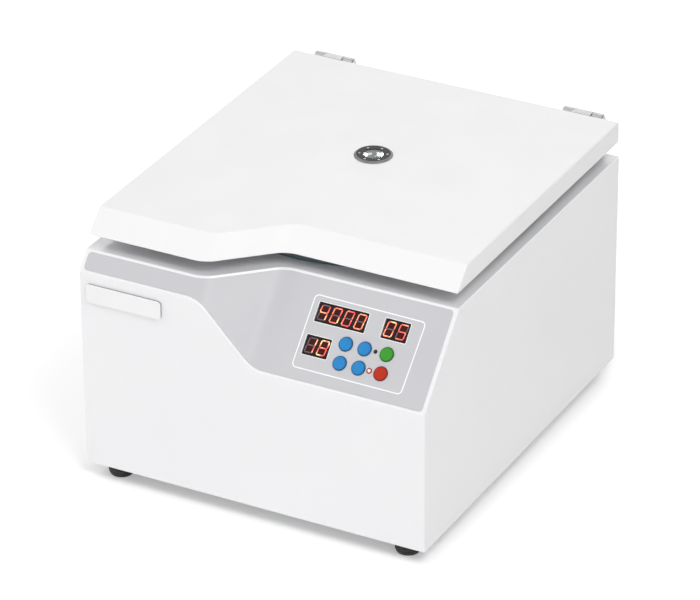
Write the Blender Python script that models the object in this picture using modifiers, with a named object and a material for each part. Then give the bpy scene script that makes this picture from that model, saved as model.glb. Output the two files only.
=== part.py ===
"""A bench centrifuge with a hinged lid, a sloped control front and a four-bucket swing-out rotor.

Metres, +Z up. The front faces -Y and +X is to the right of someone facing it. The origin is on the
floor, under the middle of the object's box.
"""

import math

import bmesh
import bpy
from mathutils import Matrix, Vector

# Clearances and the overrun of every cut
GAP = 0.0003
RUN = 0.0005
OVERRUN = 0.003
MERGE_DISTANCE = 0.00001

# Housing
BODY_WIDTH = 0.360
BODY_DEPTH = 0.412
BODY_HEIGHT = 0.222
BODY_LIFT = 0.015
WALL = 0.003
CORNER_RADIUS = 0.003

# Front: a short slope on the left, a long one on the right, a slanted facet between them
SHORT_SETBACK = 0.015
LONG_SETBACK = 0.068
SLOPE_ANGLE = math.radians(41.67)
LONG_SLOPE_WIDTH = 0.1785
FACET_WIDTH = 0.0565
BEND_RADIUS = 0.030

# Grey inlay let into the slopes
INLAY_SIDE_MARGIN = 0.004
INLAY_TOP_MARGIN = 0.0021
INLAY_BOTTOM_MARGIN = 0.0014
INLAY_CORNER = 0.0035
INLAY_SUNK = 0.0003
INLAY_THICKNESS = 0.001

# Base plate, feet and rear panel
BASE_THICKNESS = 0.002
BASE_INSET = 0.0045
BASE_SHOWS = 0.0015
FOOT_RADIUS = 0.0125
FOOT_SOLE_RADIUS = 0.0112
FOOT_CHAMFER = 0.003
FOOT_RECESS_RADIUS = 0.0042
FOOT_RECESS_DEPTH = 0.004
FOOT_SIDE_INSET = 0.027
FOOT_FRONT_INSET = 0.020
REAR_THICKNESS = 0.002
REAR_INSET = 0.0003
VENT_LENGTH = 0.046
VENT_WIDTH = 0.004
VENT_PITCH = 0.009
VENT_COUNT = 6
REAR_VENT_RISE = 0.062
VENT_FROM_SIDE = 0.075

# Name plate, left bare
BADGE_WIDTH = 0.0795
BADGE_HEIGHT = 0.0188
BADGE_THICKNESS = 0.002
BADGE_LEFT_INSET = 0.008
BADGE_DROP = 0.0280
BADGE_CORNER = 0.0035

# Lid
LID_SIDE_INSET = 0.0025
LID_THICKNESS = 0.0205
LID_GAP = 0.014
LID_OVERHANG = 0.003
LID_FRONT_ANGLE = math.radians(46.9)
LID_WALL = 0.0025
LID_CORNER = 0.004
LINER_THICKNESS = 0.0012

# Viewing port
PORT_RADIUS = 0.017
PORT_FLANGE_RADIUS = 0.0186
PORT_FLANGE_HEIGHT = 0.0014
PORT_BORE = 0.0122
PORT_TUBE_WALL = 0.0022
GLASS_THICKNESS = 0.002
GLASS_SUNK = 0.0006

# Chamber
CHAMBER_FROM_FRONT = 0.245
CHAMBER_RADIUS = 0.145
CHAMBER_DEPTH = 0.119
BOWL_WALL = 0.0012
BOWL_FILLET = 0.014
BOWL_RIM = 0.0095
SHAFT_OPENING = 0.022
SEAL_RADIUS = 0.161
SEAL_INNER_RADIUS = 0.1465
SEAL_ROUND = 0.003

# Drive
MOTOR_RADIUS = 0.048
MOTOR_WALL = 0.004
FLOOR_ROOM = 0.0081
CAP_THICKNESS = 0.008
BEARING_RADIUS = 0.0135
BEARING_WIDTH = 0.009
SHAFT_RADIUS = 0.008
THREAD_RADIUS = 0.005
ARMATURE_RADIUS = 0.028
ARMATURE_END_ROOM = 0.005
STATOR_END_ROOM = 0.003
AIR_GAP = 0.0012
MOUNT_RADIUS = 0.010
MOUNT_WAIST = 0.0072
MOUNT_HEIGHT = 0.020
MOUNT_CIRCLE = 0.062
PLATE_RADIUS = 0.075
PLATE_THICKNESS = 0.004
GAITER_WALL = 0.0025
GAITER_SWELL = 0.004
GAITER_LIP = 0.002

# Rotor
ROTOR_RADIUS = 0.080
ROTOR_THICKNESS = 0.018
ROTOR_TOP_DROP = 0.031
HUB_RADIUS = 0.022
HUB_LENGTH = 0.037
BOSS_RADIUS = 0.018
BOSS_HEIGHT = 0.004
NUT_RADIUS = 0.013
NUT_HEIGHT = 0.012
THREAD_SHOWS = 0.001
TRUNNION_CIRCLE = 0.062
TRUNNION_DROP = 0.006
TRUNNION_RADIUS = 0.004
TRUNNION_REACH = 0.0065

# Buckets
BUCKET_RADIUS = 0.024
BUCKET_WALL = 0.0025
BUCKET_ABOVE = 0.010
BUCKET_BELOW = 0.072
BUCKET_FLOOR = 0.003
BUCKET_ROUND = 0.007
BUCKET_SIDE_ROOM = 0.0035
BUCKET_RIM = 0.0012
BUCKET_RIM_HEIGHT = 0.004

# Hinges
HINGE_FROM_SIDE = 0.0415
HINGE_LENGTH = 0.041
KNUCKLE_RADIUS = 0.005
KNUCKLE_MIDDLE = 0.0204
HINGE_PIN_RADIUS = 0.002
PIN_HEAD_RADIUS = 0.003
PIN_HEAD = 0.0018
LEAF_THICKNESS = 0.002
LEAF_DROP = 0.0115
BRACKET_THICKNESS = 0.003
BRACKET_TOP_DROP = 0.0485
BRACKET_HEIGHT = 0.030

# Lock
LOCK_FROM_SIDE = 0.065
LOCK_FROM_FRONT = 0.076
SLOT_WIDTH = 0.016
SLOT_LENGTH = 0.030
HOOK_THICKNESS = 0.004
HOOK_WIDTH = 0.014
HOOK_BACK_ROOM = 0.002
HOOK_REACH = 0.027
HOOK_FOOT = 0.0015
HOOK_FOOT_MARGIN = 0.005
EYE_SIZE = 0.009
EYE_RISE = 0.0055
LOCK_WALL = 0.003
LOCK_DEPTH = 0.033
BOLT_RADIUS = 0.003
BOLT_LENGTH = 0.046
BOLT_HEAD_RADIUS = 0.005
BOLT_HEAD = 0.003
BOLT_STANDOFF = 0.0013
SOLENOID_LENGTH = 0.026
SOLENOID_SIZE = 0.020

# Control field on the long slope, placed from the slope's right end and down from the deck's edge
DIGIT_HEIGHT = 0.0184
DIGIT_DEPTH = 0.008
DISPLAY_SUNK = 0.0009
DISPLAY_HOLE_GAP = 0.0004
SPEED_DISPLAY_WIDTH = 0.0508
PAIR_DISPLAY_WIDTH = 0.0251
TOP_ROW = 0.0337
DISPLAY_ROW = 0.0658
SPEED_FROM_END = 0.1087
TIME_FROM_END = 0.0532
ROTOR_FROM_END = 0.1234
KEY_RADIUS = 0.0068
KEY_PROUD = 0.0009
KEY_DOME = 0.0005
KEY_FLANGE = 0.0082
KEY_FLANGE_THICKNESS = 0.001
KEY_STEM_RADIUS = 0.0025
KEY_STEM_DEPTH = 0.010
KEY_TRAVEL = 0.0008
KEY_ROW_UPPER = 0.0569
KEY_ROW_LOWER = 0.0754
KEY_LEFT_FROM_END = 0.0963
KEY_MIDDLE_FROM_END = 0.0770
KEY_RIGHT_FROM_END = 0.0543
LAMP_FROM_END = 0.0660
RUN_LAMP_RADIUS = 0.0017
STOP_LAMP_RADIUS = 0.0025
LAMP_PROUD = 0.0003
LAMP_DEPTH = 0.0105
BOARD_DEPTH = 0.0145
BOARD_THICKNESS = 0.0016
BOARD_FROM_END = 0.020
BOARD_WIDTH = 0.130
BOARD_TOP = 0.010
BOARD_BOTTOM = 0.094
SWITCH_RADIUS = 0.0035
BLOCK_INSET = 0.003

# Rear connections
INLET_FROM_SIDE = 0.070
INLET_RISE = 0.060
INLET_WIDTH = 0.031
INLET_HEIGHT = 0.038
INLET_FLANGE = 0.0025
INLET_BODY_INSET = 0.002
INLET_BODY_DEPTH = 0.024
SOCKET_WIDTH = 0.0245
SOCKET_HEIGHT = 0.0165
SOCKET_DEPTH = 0.020
SOCKET_RISE = 0.0075
SOCKET_CORNER = 0.0025
PRONG_WIDTH = 0.002
PRONG_HEIGHT = 0.004
PRONG_LENGTH = 0.014
PRONG_SPREAD = 0.007
PRONG_STAGGER = 0.002
DRAWER_WIDTH = 0.022
DRAWER_HEIGHT = 0.0075
DRAWER_DROP = 0.0115
DRAWER_LENGTH = 0.018
DRAWER_PROUD = 0.0015
DRAWER_FACE = 0.001
DRAWER_FACE_THICKNESS = 0.0015
SWITCH_FROM_SIDE = 0.115
SWITCH_RISE = 0.060
FRAME_WIDTH = 0.019
FRAME_HEIGHT = 0.027
FRAME_FLANGE = 0.002
FRAME_DEPTH = 0.014
ROCKER_WIDTH = 0.0125
ROCKER_REACH = 0.0095
ROCKER_AXIS_DEPTH = 0.0035
ROCKER_FACE = 0.0042
ROCKER_TILT = math.radians(10)
ROCKER_DISH_SHARE = 0.55

# Power board
POWER_FROM_SIDE = 0.018
POWER_WIDTH = 0.070
POWER_LENGTH = 0.110
POWER_FROM_FRONT = 0.060
POWER_STANDOFF = 0.008
POST_RADIUS = 0.003
POST_SIDES = 8
POWER_EDGE = 0.006
SINK_WIDTH = 0.026
SINK_LENGTH = 0.060
SINK_HEIGHT = 0.030
FIN_WIDTH = 0.002
FIN_COUNT = 5
FIN_FLOOR = 0.005
CAPACITOR_RADIUS = 0.010
CAPACITOR_HEIGHT = 0.028

# Fineness of the round pieces
BEND_STEPS = 5
CORNER_STEPS = 3
BOWL_SIDES = 40
ROUND_SIDES = 20
SMALL_SIDES = 12
FILLET_STEPS = 2
KNUCKLE_STEPS = 6

# Directions
ROUND_TOP_START = math.radians(-20)
ROUND_TOP_END = math.radians(190)
ROUND_BACK_END = math.radians(100)
MOUNT_TURNS = {"rear": math.radians(90), "left": math.radians(210), "right": math.radians(330)}

# Levels and depths that the pieces share
slope_lean = math.tan(SLOPE_ANGLE)
slope_stretch = math.hypot(1, slope_lean)
lid_lean = math.tan(LID_FRONT_ANGLE)
badge_reach = GAP + BADGE_THICKNESS
leaf_reach = GAP + LEAF_THICKNESS + KNUCKLE_RADIUS
back_reach = LID_OVERHANG + leaf_reach + KNUCKLE_RADIUS
front_y = badge_reach - (badge_reach + BODY_DEPTH + back_reach) / 2
back_y = front_y + BODY_DEPTH
deck_z = BODY_LIFT + BODY_HEIGHT
base_low = BODY_LIFT - BASE_SHOWS
base_top = base_low + BASE_THICKNESS
lid_low = deck_z + LID_GAP
lid_top = lid_low + LID_THICKNESS
lid_back = back_y + LID_OVERHANG
liner_low = lid_low + GAP
chamber_y = front_y + CHAMBER_FROM_FRONT
bowl_floor = deck_z - CHAMBER_DEPTH
rotor_top = deck_z - ROTOR_TOP_DROP
trunnion_z = rotor_top - TRUNNION_DROP
slot_half = BUCKET_RADIUS + BUCKET_SIDE_ROOM
arm_start = TRUNNION_CIRCLE - BUCKET_RADIUS - BUCKET_SIDE_ROOM - GAP
hinge_y = lid_back + leaf_reach
hinge_z = lid_top - KNUCKLE_RADIUS
lock_y = front_y + LOCK_FROM_FRONT
body_half = BODY_WIDTH / 2
inner_half = body_half - WALL
lid_half = body_half - LID_SIDE_INSET
recess_depth = INLAY_SUNK + INLAY_THICKNESS + GAP
bend_right = body_half - LONG_SLOPE_WIDTH
bend_left = bend_right - FACET_WIDTH
vent_x = body_half - VENT_FROM_SIDE
inlet_x = INLET_FROM_SIDE - body_half
switch_x = SWITCH_FROM_SIDE - body_half
lock_x = LOCK_FROM_SIDE - body_half
hinge_x = lid_half - HINGE_FROM_SIDE


def clear_scene():
    for found in list(bpy.data.objects):
        bpy.data.objects.remove(found, do_unlink=True)


def new_collection(name):
    made = bpy.data.collections.new(name)
    bpy.context.scene.collection.children.link(made)
    return made


def new_material(name, colour, roughness, metallic=0.0):
    made = bpy.data.materials.new(name)
    made.use_nodes = True
    shader = made.node_tree.nodes["Principled BSDF"]
    shader.inputs["Base Color"].default_value = (*colour, 1.0)
    shader.inputs["Roughness"].default_value = roughness
    shader.inputs["Metallic"].default_value = metallic
    return made


def pivot(name, location, rotation=(0, 0, 0), parent=None):
    """An empty that carries the pieces which turn about it or lie in its plane."""
    made = bpy.data.objects.new(name, None)
    parts.objects.link(made)
    made.location = location
    made.rotation_euler = rotation
    made.parent = parent
    return made


def store(name, shape, location=(0, 0, 0), rotation=(0, 0, 0), parent=None):
    """Turn a bmesh into an object in the collection of cutters, until finish() makes it a part."""
    data = bpy.data.meshes.new(name)
    shape.normal_update()
    shape.to_mesh(data)
    shape.free()
    made = bpy.data.objects.new(name, data)
    helpers.objects.link(made)
    made.location = location
    made.rotation_euler = rotation
    made.parent = parent
    made.hide_render = True
    made.display_type = "WIRE"
    return made


def finish(made, surface, smooth_angle=math.radians(35)):
    """Make a stored object one of the parts."""
    helpers.objects.unlink(made)
    parts.objects.link(made)
    made.hide_render = False
    made.display_type = "TEXTURED"
    made.data.materials.append(surface)
    made.data.shade_smooth()
    made.data.set_sharp_from_angle(angle=smooth_angle)
    return made


def combine(made, other, operation="DIFFERENCE", solver="EXACT"):
    """Cut, join or intersect with another stored object, which stays a helper."""
    step = made.modifiers.new(operation.lower() + "_" + other.name, "BOOLEAN")
    step.operation = operation
    step.solver = solver
    step.object = other
    return made


def box(name, low, high, parent=None):
    shape = bmesh.new()
    bmesh.ops.create_cube(shape, size=1)
    size = [top - bottom for bottom, top in zip(low, high)]
    bmesh.ops.scale(shape, vec=size, verts=shape.verts)
    middle = [(bottom + top) / 2 for bottom, top in zip(low, high)]
    return store(name, shape, middle, parent=parent)


def rod(name, start, end, radius, sides=SMALL_SIDES, parent=None):
    start = Vector(start)
    end = Vector(end)
    along = end - start
    shape = bmesh.new()
    bmesh.ops.create_cone(
        shape, cap_ends=True, segments=sides, radius1=radius, radius2=radius, depth=along.length
    )
    turn = along.to_track_quat("Z", "Y").to_euler()
    return store(name, shape, (start + end) / 2, turn, parent)


def turned(name, profile, location, sides=ROUND_SIDES, parent=None, closed=False, rotation=(0, 0, 0)):
    """Turn a profile of (radius, height) points about Z. It runs down the outer side."""
    shape = bmesh.new()
    points = [shape.verts.new((radius, 0, height)) for radius, height in profile]
    for first, second in zip(points, points[1:]):
        shape.edges.new((first, second))
    if closed:
        shape.edges.new((points[-1], points[0]))
    made = store(name, shape, location, rotation, parent)
    screw = made.modifiers.new("turn", "SCREW")
    screw.axis = "Z"
    screw.steps = sides
    screw.render_steps = sides
    screw.use_merge_vertices = True
    screw.merge_threshold = MERGE_DISTANCE
    return made


def outlined(name, outlines, thickness, location, rotation=(0, 0, 0), parent=None, lean=0.0):
    """A flat outline, with any holes, made thick along Z. With a lean, its walls move back as they rise."""
    curve = bpy.data.curves.new(name, "CURVE")
    curve.dimensions = "2D"
    curve.fill_mode = "BOTH"
    curve.extrude = thickness / 2
    for outline in outlines:
        spline = curve.splines.new("POLY")
        spline.points.add(len(outline) - 1)
        for point, place in zip(spline.points, outline):
            point.co = (place[0], place[1], 0, 1)
        spline.use_cyclic_u = True
    drawn = bpy.data.objects.new(name, curve)
    helpers.objects.link(drawn)
    graph = bpy.context.evaluated_depsgraph_get()
    flat = bpy.data.meshes.new_from_object(drawn.evaluated_get(graph))
    bpy.data.objects.remove(drawn, do_unlink=True)
    shape = bmesh.new()
    shape.from_mesh(flat)
    bmesh.ops.remove_doubles(shape, verts=shape.verts, dist=MERGE_DISTANCE)
    bmesh.ops.recalc_face_normals(shape, faces=shape.faces)
    if shape.calc_volume(signed=True) < 0:
        bmesh.ops.reverse_faces(shape, faces=shape.faces)
    bmesh.ops.translate(shape, vec=(0, 0, thickness / 2), verts=shape.verts)
    tilt = Matrix(((1, 0, 0, 0), (0, 1, lean, 0), (0, 0, 1, 0), (0, 0, 0, 1)))
    bmesh.ops.transform(shape, matrix=tilt, verts=shape.verts)
    return store(name, shape, location, rotation, parent)


def rounded(points, radii, steps=CORNER_STEPS, closed=True):
    """The points of a line whose corners are arcs of the radii given."""
    count = len(points)
    line = []
    for index, (point, radius) in enumerate(zip(points, radii)):
        here = Vector(point)
        if radius == 0 or (not closed and index in (0, count - 1)):
            line.append(here)
            continue
        back = (Vector(points[index - 1]) - here).normalized()
        on = (Vector(points[(index + 1) % count]) - here).normalized()
        half = back.angle(on) / 2
        reach = radius / math.tan(half)
        centre = here + (back + on).normalized() * (radius / math.sin(half))
        first = (here + back * reach - centre).normalized()
        last = (here + on * reach - centre).normalized()
        line += [centre + first.slerp(last, step / steps) * radius for step in range(steps + 1)]
    return line


def rectangle(half_width, low, high, radius=0.0, steps=CORNER_STEPS):
    corners = [(-half_width, low), (half_width, low), (half_width, high), (-half_width, high)]
    return rounded(corners, [radius] * len(corners), steps)


def arc(centre, radius, start, end, steps):
    """Points of an arc in a plane, from one angle to another."""
    turns = [start + (end - start) * step / steps for step in range(steps + 1)]
    return [(centre[0] + radius * math.cos(t), centre[1] + radius * math.sin(t)) for t in turns]


def front_line(offset, half_width):
    """The deck's front edge seen from above, moved back by the offset."""
    short_y = front_y + SHORT_SETBACK + offset
    long_y = front_y + LONG_SETBACK + offset
    line = [(-half_width, short_y), (bend_left, short_y), (bend_right, long_y), (half_width, long_y)]
    return rounded(line, [BEND_RADIUS] * len(line), BEND_STEPS, closed=False)


def front_prism(name, front, back, half_width, level, low, high, lean):
    """What lies between two lines parallel to the deck's front edge, which hold at one level."""
    outline = front_line(front, half_width) + front_line(back, half_width)[::-1]
    place = (0, lean * (low - level), low)
    return outlined(name, [outline], high - low, place, lean=lean)


def front_waste(name, offset, level, low, high, lean, reach):
    """Everything in front of a line parallel to the deck's front edge, as a cutter."""
    half = body_half + OVERRUN
    outline = front_line(offset, half) + [(half, front_y - reach), (-half, front_y - reach)]
    place = (0, lean * (low - level), low)
    return outlined(name, [outline], high - low, place, lean=lean)


def inlay_window(name, grow, reach):
    """The inlay's outline seen from the front, as a prism along Y."""
    half = body_half - INLAY_SIDE_MARGIN + grow
    top = deck_z - INLAY_TOP_MARGIN + grow
    left_low = deck_z - SHORT_SETBACK / slope_lean + INLAY_BOTTOM_MARGIN - grow
    right_low = deck_z - LONG_SETBACK / slope_lean + INLAY_BOTTOM_MARGIN - grow
    corner = INLAY_CORNER + grow
    # Seen along +Y the outline's own Y is height, and its thickness runs towards -Y
    points = [
        (-half, left_low),
        (bend_left, left_low),
        (bend_right, right_low),
        (half, right_low),
        (half, top),
        (-half, top),
    ]
    radii = [corner, BEND_RADIUS, BEND_RADIUS, corner, corner, corner]
    outline = rounded(points, radii, BEND_STEPS)
    return outlined(name, [outline], reach, (0, front_y + reach, 0), (math.pi / 2, 0, 0))


def slope_hole(name, x, down, half_width, half_height):
    return box(
        name,
        (x - half_width, -down - half_height, -WALL - OVERRUN),
        (x + half_width, -down + half_height, OVERRUN),
        parent=slope,
    )


def control_holes():
    """Cutters for everything that shows through the long slope."""
    holes = []
    for name, x, down, width in DISPLAYS:
        half_width = width / 2 + DISPLAY_HOLE_GAP
        half_height = DIGIT_HEIGHT / 2 + DISPLAY_HOLE_GAP
        holes.append(slope_hole(name + "_hole", x, down, half_width, half_height))
    for name, x, down in KEYS:
        radius = KEY_RADIUS + GAP
        start = (x, -down, -WALL - OVERRUN)
        holes.append(rod(name + "_hole", start, (x, -down, OVERRUN), radius, ROUND_SIDES, slope))
    for name, x, down, radius in LAMPS:
        start = (x, -down, -WALL - OVERRUN)
        end = (x, -down, OVERRUN)
        holes.append(rod(name + "_hole", start, end, radius + GAP, SMALL_SIDES, slope))
    return holes


def build_housing():
    plan = rectangle(body_half, front_y, back_y, CORNER_RADIUS)
    shell = outlined("housing_shell", [plan], BODY_HEIGHT, (0, 0, BODY_LIFT))
    low = deck_z - BODY_HEIGHT
    high = deck_z + OVERRUN
    reach = BODY_HEIGHT * slope_lean
    combine(shell, front_waste("slope_waste", 0, deck_z, low, high, slope_lean, reach))

    hollow = box(
        "housing_hollow",
        (-inner_half, front_y + WALL, BODY_LIFT - OVERRUN),
        (inner_half, back_y + OVERRUN, deck_z - WALL),
    )
    inward = WALL * slope_stretch
    combine(hollow, front_waste("hollow_waste", inward, deck_z, low, high, slope_lean, reach))
    combine(shell, hollow)

    deck_hole = rod(
        "deck_hole",
        (0, chamber_y, deck_z - WALL - OVERRUN),
        (0, chamber_y, deck_z + OVERRUN),
        CHAMBER_RADIUS + BOWL_WALL + RUN,
        BOWL_SIDES,
    )
    combine(shell, deck_hole)

    recess = front_prism(
        "inlay_recess",
        -OVERRUN,
        recess_depth * slope_stretch,
        body_half,
        deck_z,
        deck_z - (LONG_SETBACK / slope_lean),
        deck_z,
        slope_lean,
    )
    # The exact solver loses this thin leaning slab
    window = inlay_window("recess_window", GAP, LONG_SETBACK + OVERRUN)
    combine(recess, window, "INTERSECT", "MANIFOLD")
    combine(shell, recess, solver="MANIFOLD")

    lock_slot = box(
        "deck_lock_slot",
        (lock_x - SLOT_WIDTH / 2, lock_y - SLOT_LENGTH / 2, deck_z - WALL - OVERRUN),
        (lock_x + SLOT_WIDTH / 2, lock_y + SLOT_LENGTH / 2, deck_z + OVERRUN),
    )
    combine(shell, lock_slot)
    for hole in control_cutters:
        combine(shell, hole)
    finish(shell, white_paint)


def build_inlay():
    inlay = front_prism(
        "fascia_inlay",
        INLAY_SUNK * slope_stretch,
        (INLAY_SUNK + INLAY_THICKNESS) * slope_stretch,
        body_half,
        deck_z,
        deck_z - (LONG_SETBACK / slope_lean),
        deck_z,
        slope_lean,
    )
    window = inlay_window("inlay_window", 0, LONG_SETBACK + OVERRUN)
    combine(inlay, window, "INTERSECT", "MANIFOLD")
    for hole in control_cutters:
        combine(inlay, hole)
    finish(inlay, grey_film)


def build_badge():
    low_x = -body_half + BADGE_LEFT_INSET
    top = deck_z - BADGE_DROP
    half = BADGE_WIDTH / 2
    outline = rectangle(half, top - BADGE_HEIGHT, top, BADGE_CORNER)
    place = (low_x + half, front_y - GAP, 0)
    badge = outlined("badge_plate", [outline], BADGE_THICKNESS, place, (math.pi / 2, 0, 0))
    finish(badge, badge_white)


def vent_row(name, centre, length_axis, parent_low, parent_high):
    """Cutters for a row of slots through a plate, given the plate's lowest and highest corners."""
    cutters = []
    pitch_axis = 1 - length_axis if length_axis < 2 else 0
    for index in range(VENT_COUNT):
        low = list(parent_low)
        high = list(parent_high)
        low[length_axis] = centre[length_axis] - VENT_LENGTH / 2
        high[length_axis] = centre[length_axis] + VENT_LENGTH / 2
        middle = centre[pitch_axis] + (index - (VENT_COUNT - 1) / 2) * VENT_PITCH
        low[pitch_axis] = middle - VENT_WIDTH / 2
        high[pitch_axis] = middle + VENT_WIDTH / 2
        cutters.append(box(f"{name}_{index + 1}", low, high))
    return cutters


def build_base():
    half = body_half - BASE_INSET
    low = (-half, front_y + BASE_INSET, base_low)
    high = (half, back_y - BASE_INSET, base_top)
    plate = box("base_plate", low, high)
    for side, name in ((-1, "base_vent_left"), (1, "base_vent_right")):
        centre = (side * vent_x, chamber_y)
        slots = vent_row(name, centre, 0, (0, 0, base_low - OVERRUN), (0, 0, base_top + OVERRUN))
        for slot in slots:
            combine(plate, slot)
    finish(plate, grey_steel)


def build_feet():
    foot_x = body_half - FOOT_SIDE_INSET
    profile = [
        (0, base_low - GAP),
        (FOOT_RADIUS, base_low - GAP),
        (FOOT_RADIUS, FOOT_CHAMFER),
        (FOOT_SOLE_RADIUS, 0),
        (FOOT_RECESS_RADIUS, 0),
        (FOOT_RECESS_RADIUS, FOOT_RECESS_DEPTH),
        (0, FOOT_RECESS_DEPTH),
    ]
    places = (
        ("foot_front_left", -foot_x, front_y + FOOT_FRONT_INSET),
        ("foot_front_right", foot_x, front_y + FOOT_FRONT_INSET),
        ("foot_rear_left", -foot_x, back_y - FOOT_FRONT_INSET),
        ("foot_rear_right", foot_x, back_y - FOOT_FRONT_INSET),
    )
    for name, x, y in places:
        finish(turned(name, profile, (x, y, 0), ROUND_SIDES), black_rubber)


def build_rear_panel():
    outer = back_y - REAR_INSET
    inner = outer - REAR_THICKNESS
    half = inner_half - RUN
    low = (-half, inner, base_top + RUN)
    high = (half, outer, deck_z - WALL - RUN)
    panel = box("rear_panel", low, high)

    inlet_z = BODY_LIFT + INLET_RISE
    half_width = INLET_WIDTH / 2 - INLET_BODY_INSET + GAP
    half_height = INLET_HEIGHT / 2 - INLET_BODY_INSET + GAP
    opening = box(
        "inlet_opening",
        (inlet_x - half_width, inner - OVERRUN, inlet_z - half_height),
        (inlet_x + half_width, outer + OVERRUN, inlet_z + half_height),
    )
    combine(panel, opening)

    switch_z = BODY_LIFT + SWITCH_RISE
    half_width = FRAME_WIDTH / 2 - FRAME_FLANGE + GAP
    half_height = FRAME_HEIGHT / 2 - FRAME_FLANGE + GAP
    opening = box(
        "switch_opening",
        (switch_x - half_width, inner - OVERRUN, switch_z - half_height),
        (switch_x + half_width, outer + OVERRUN, switch_z + half_height),
    )
    combine(panel, opening)

    vent_z = BODY_LIFT + REAR_VENT_RISE
    for index in range(VENT_COUNT * 2):
        middle = (index - VENT_COUNT + 1) * VENT_PITCH + vent_x
        slot = box(
            f"rear_vent_{index + 1}",
            (middle - VENT_WIDTH / 2, inner - OVERRUN, vent_z - VENT_LENGTH / 2),
            (middle + VENT_WIDTH / 2, outer + OVERRUN, vent_z + VENT_LENGTH / 2),
        )
        combine(panel, slot)
    finish(panel, grey_steel)


def build_inlet():
    """Mains inlet with three prongs in its socket, and a fuse drawer under it."""
    face = back_y - REAR_INSET + GAP
    z = BODY_LIFT + INLET_RISE
    outer = face + INLET_FLANGE
    half_width = INLET_WIDTH / 2
    half_height = INLET_HEIGHT / 2
    low = (inlet_x - half_width, face, z - half_height)
    high = (inlet_x + half_width, outer, z + half_height)
    inlet = box("mains_inlet", low, high)
    body_low = (
        inlet_x - half_width + INLET_BODY_INSET,
        face - INLET_BODY_DEPTH,
        z - half_height + INLET_BODY_INSET,
    )
    body_high = (
        inlet_x + half_width - INLET_BODY_INSET,
        face + INLET_FLANGE / 2,
        z + half_height - INLET_BODY_INSET,
    )
    combine(inlet, box("inlet_body", body_low, body_high), "UNION")

    socket_z = z + SOCKET_RISE
    socket_half = SOCKET_WIDTH / 2
    outline = rectangle(socket_half, -SOCKET_HEIGHT / 2, SOCKET_HEIGHT / 2, SOCKET_CORNER)
    place = (inlet_x, outer + OVERRUN, socket_z)
    depth = SOCKET_DEPTH + OVERRUN
    combine(inlet, outlined("inlet_socket", [outline], depth, place, (math.pi / 2, 0, 0)))

    socket_floor = outer - SOCKET_DEPTH
    prongs = (
        ("prong_left", -PRONG_SPREAD, -PRONG_STAGGER),
        ("prong_middle", 0, PRONG_STAGGER),
        ("prong_right", PRONG_SPREAD, -PRONG_STAGGER),
    )
    for name, x, rise in prongs:
        low = (
            inlet_x + x - PRONG_WIDTH / 2,
            socket_floor - OVERRUN / 2,
            socket_z + rise - PRONG_HEIGHT / 2,
        )
        high = (
            inlet_x + x + PRONG_WIDTH / 2,
            socket_floor + PRONG_LENGTH,
            socket_z + rise + PRONG_HEIGHT / 2,
        )
        combine(inlet, box(name, low, high), "UNION")

    drawer_z = z - DRAWER_DROP
    half_width = DRAWER_WIDTH / 2
    half_height = DRAWER_HEIGHT / 2
    pocket = box(
        "drawer_pocket",
        (inlet_x - half_width - GAP, outer - DRAWER_LENGTH - GAP, drawer_z - half_height - GAP),
        (inlet_x + half_width + GAP, outer + OVERRUN, drawer_z + half_height + GAP),
    )
    combine(inlet, pocket)
    finish(inlet, black_plastic)

    drawer = box(
        "fuse_drawer",
        (inlet_x - half_width, outer - DRAWER_LENGTH, drawer_z - half_height),
        (inlet_x + half_width, outer + DRAWER_PROUD, drawer_z + half_height),
    )
    face_low = (
        inlet_x - half_width - DRAWER_FACE,
        outer + GAP,
        drawer_z - half_height - DRAWER_FACE,
    )
    face_high = (
        inlet_x + half_width + DRAWER_FACE,
        outer + GAP + DRAWER_FACE_THICKNESS,
        drawer_z + half_height + DRAWER_FACE,
    )
    combine(drawer, box("drawer_face", face_low, face_high), "UNION")
    finish(drawer, black_plastic)


def build_switch():
    """Rocker switch: a flanged frame, and the rocker that tips in it about a level axis."""
    face = back_y - REAR_INSET + GAP
    z = BODY_LIFT + SWITCH_RISE
    outer = face + FRAME_FLANGE
    half_width = FRAME_WIDTH / 2
    half_height = FRAME_HEIGHT / 2
    low = (switch_x - half_width, face, z - half_height)
    high = (switch_x + half_width, outer, z + half_height)
    frame = box("switch_frame", low, high)
    body_low = (
        switch_x - half_width + FRAME_FLANGE,
        face - FRAME_DEPTH,
        z - half_height + FRAME_FLANGE,
    )
    body_high = (
        switch_x + half_width - FRAME_FLANGE,
        face + FRAME_FLANGE / 2,
        z + half_height - FRAME_FLANGE,
    )
    combine(frame, box("switch_body", body_low, body_high), "UNION")
    room = ROCKER_REACH + RUN
    well = box(
        "switch_well",
        (switch_x - ROCKER_WIDTH / 2 - RUN, outer - ROCKER_AXIS_DEPTH - room, z - room),
        (switch_x + ROCKER_WIDTH / 2 + RUN, outer + OVERRUN, z + room),
    )
    combine(frame, well)
    finish(frame, black_plastic)

    # The outline's X is depth, outwards, and its Y is height, both from the rocker's axis
    swing = math.asin(ROCKER_FACE / ROCKER_REACH)
    ends = arc((0, 0), ROCKER_REACH, math.pi / 2 - swing, math.pi * 3 / 2 + swing, KNUCKLE_STEPS * 2)
    dish = ROCKER_FACE * ROCKER_DISH_SHARE
    outline = ends + [(dish, 0)]
    axis_place = (switch_x, outer - ROCKER_AXIS_DEPTH, z)
    axis = pivot("rocker_axis", axis_place, (-ROCKER_TILT, 0, 0))
    # Turned so that the outline's X points along +Y and its thickness along X
    turn = Matrix(((0, 0, 1), (1, 0, 0), (0, 1, 0))).to_euler()
    place = (-ROCKER_WIDTH / 2, 0, 0)
    rocker = outlined("power_rocker", [outline], ROCKER_WIDTH, place, turn, parent=axis)
    finish(rocker, black_plastic)


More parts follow.
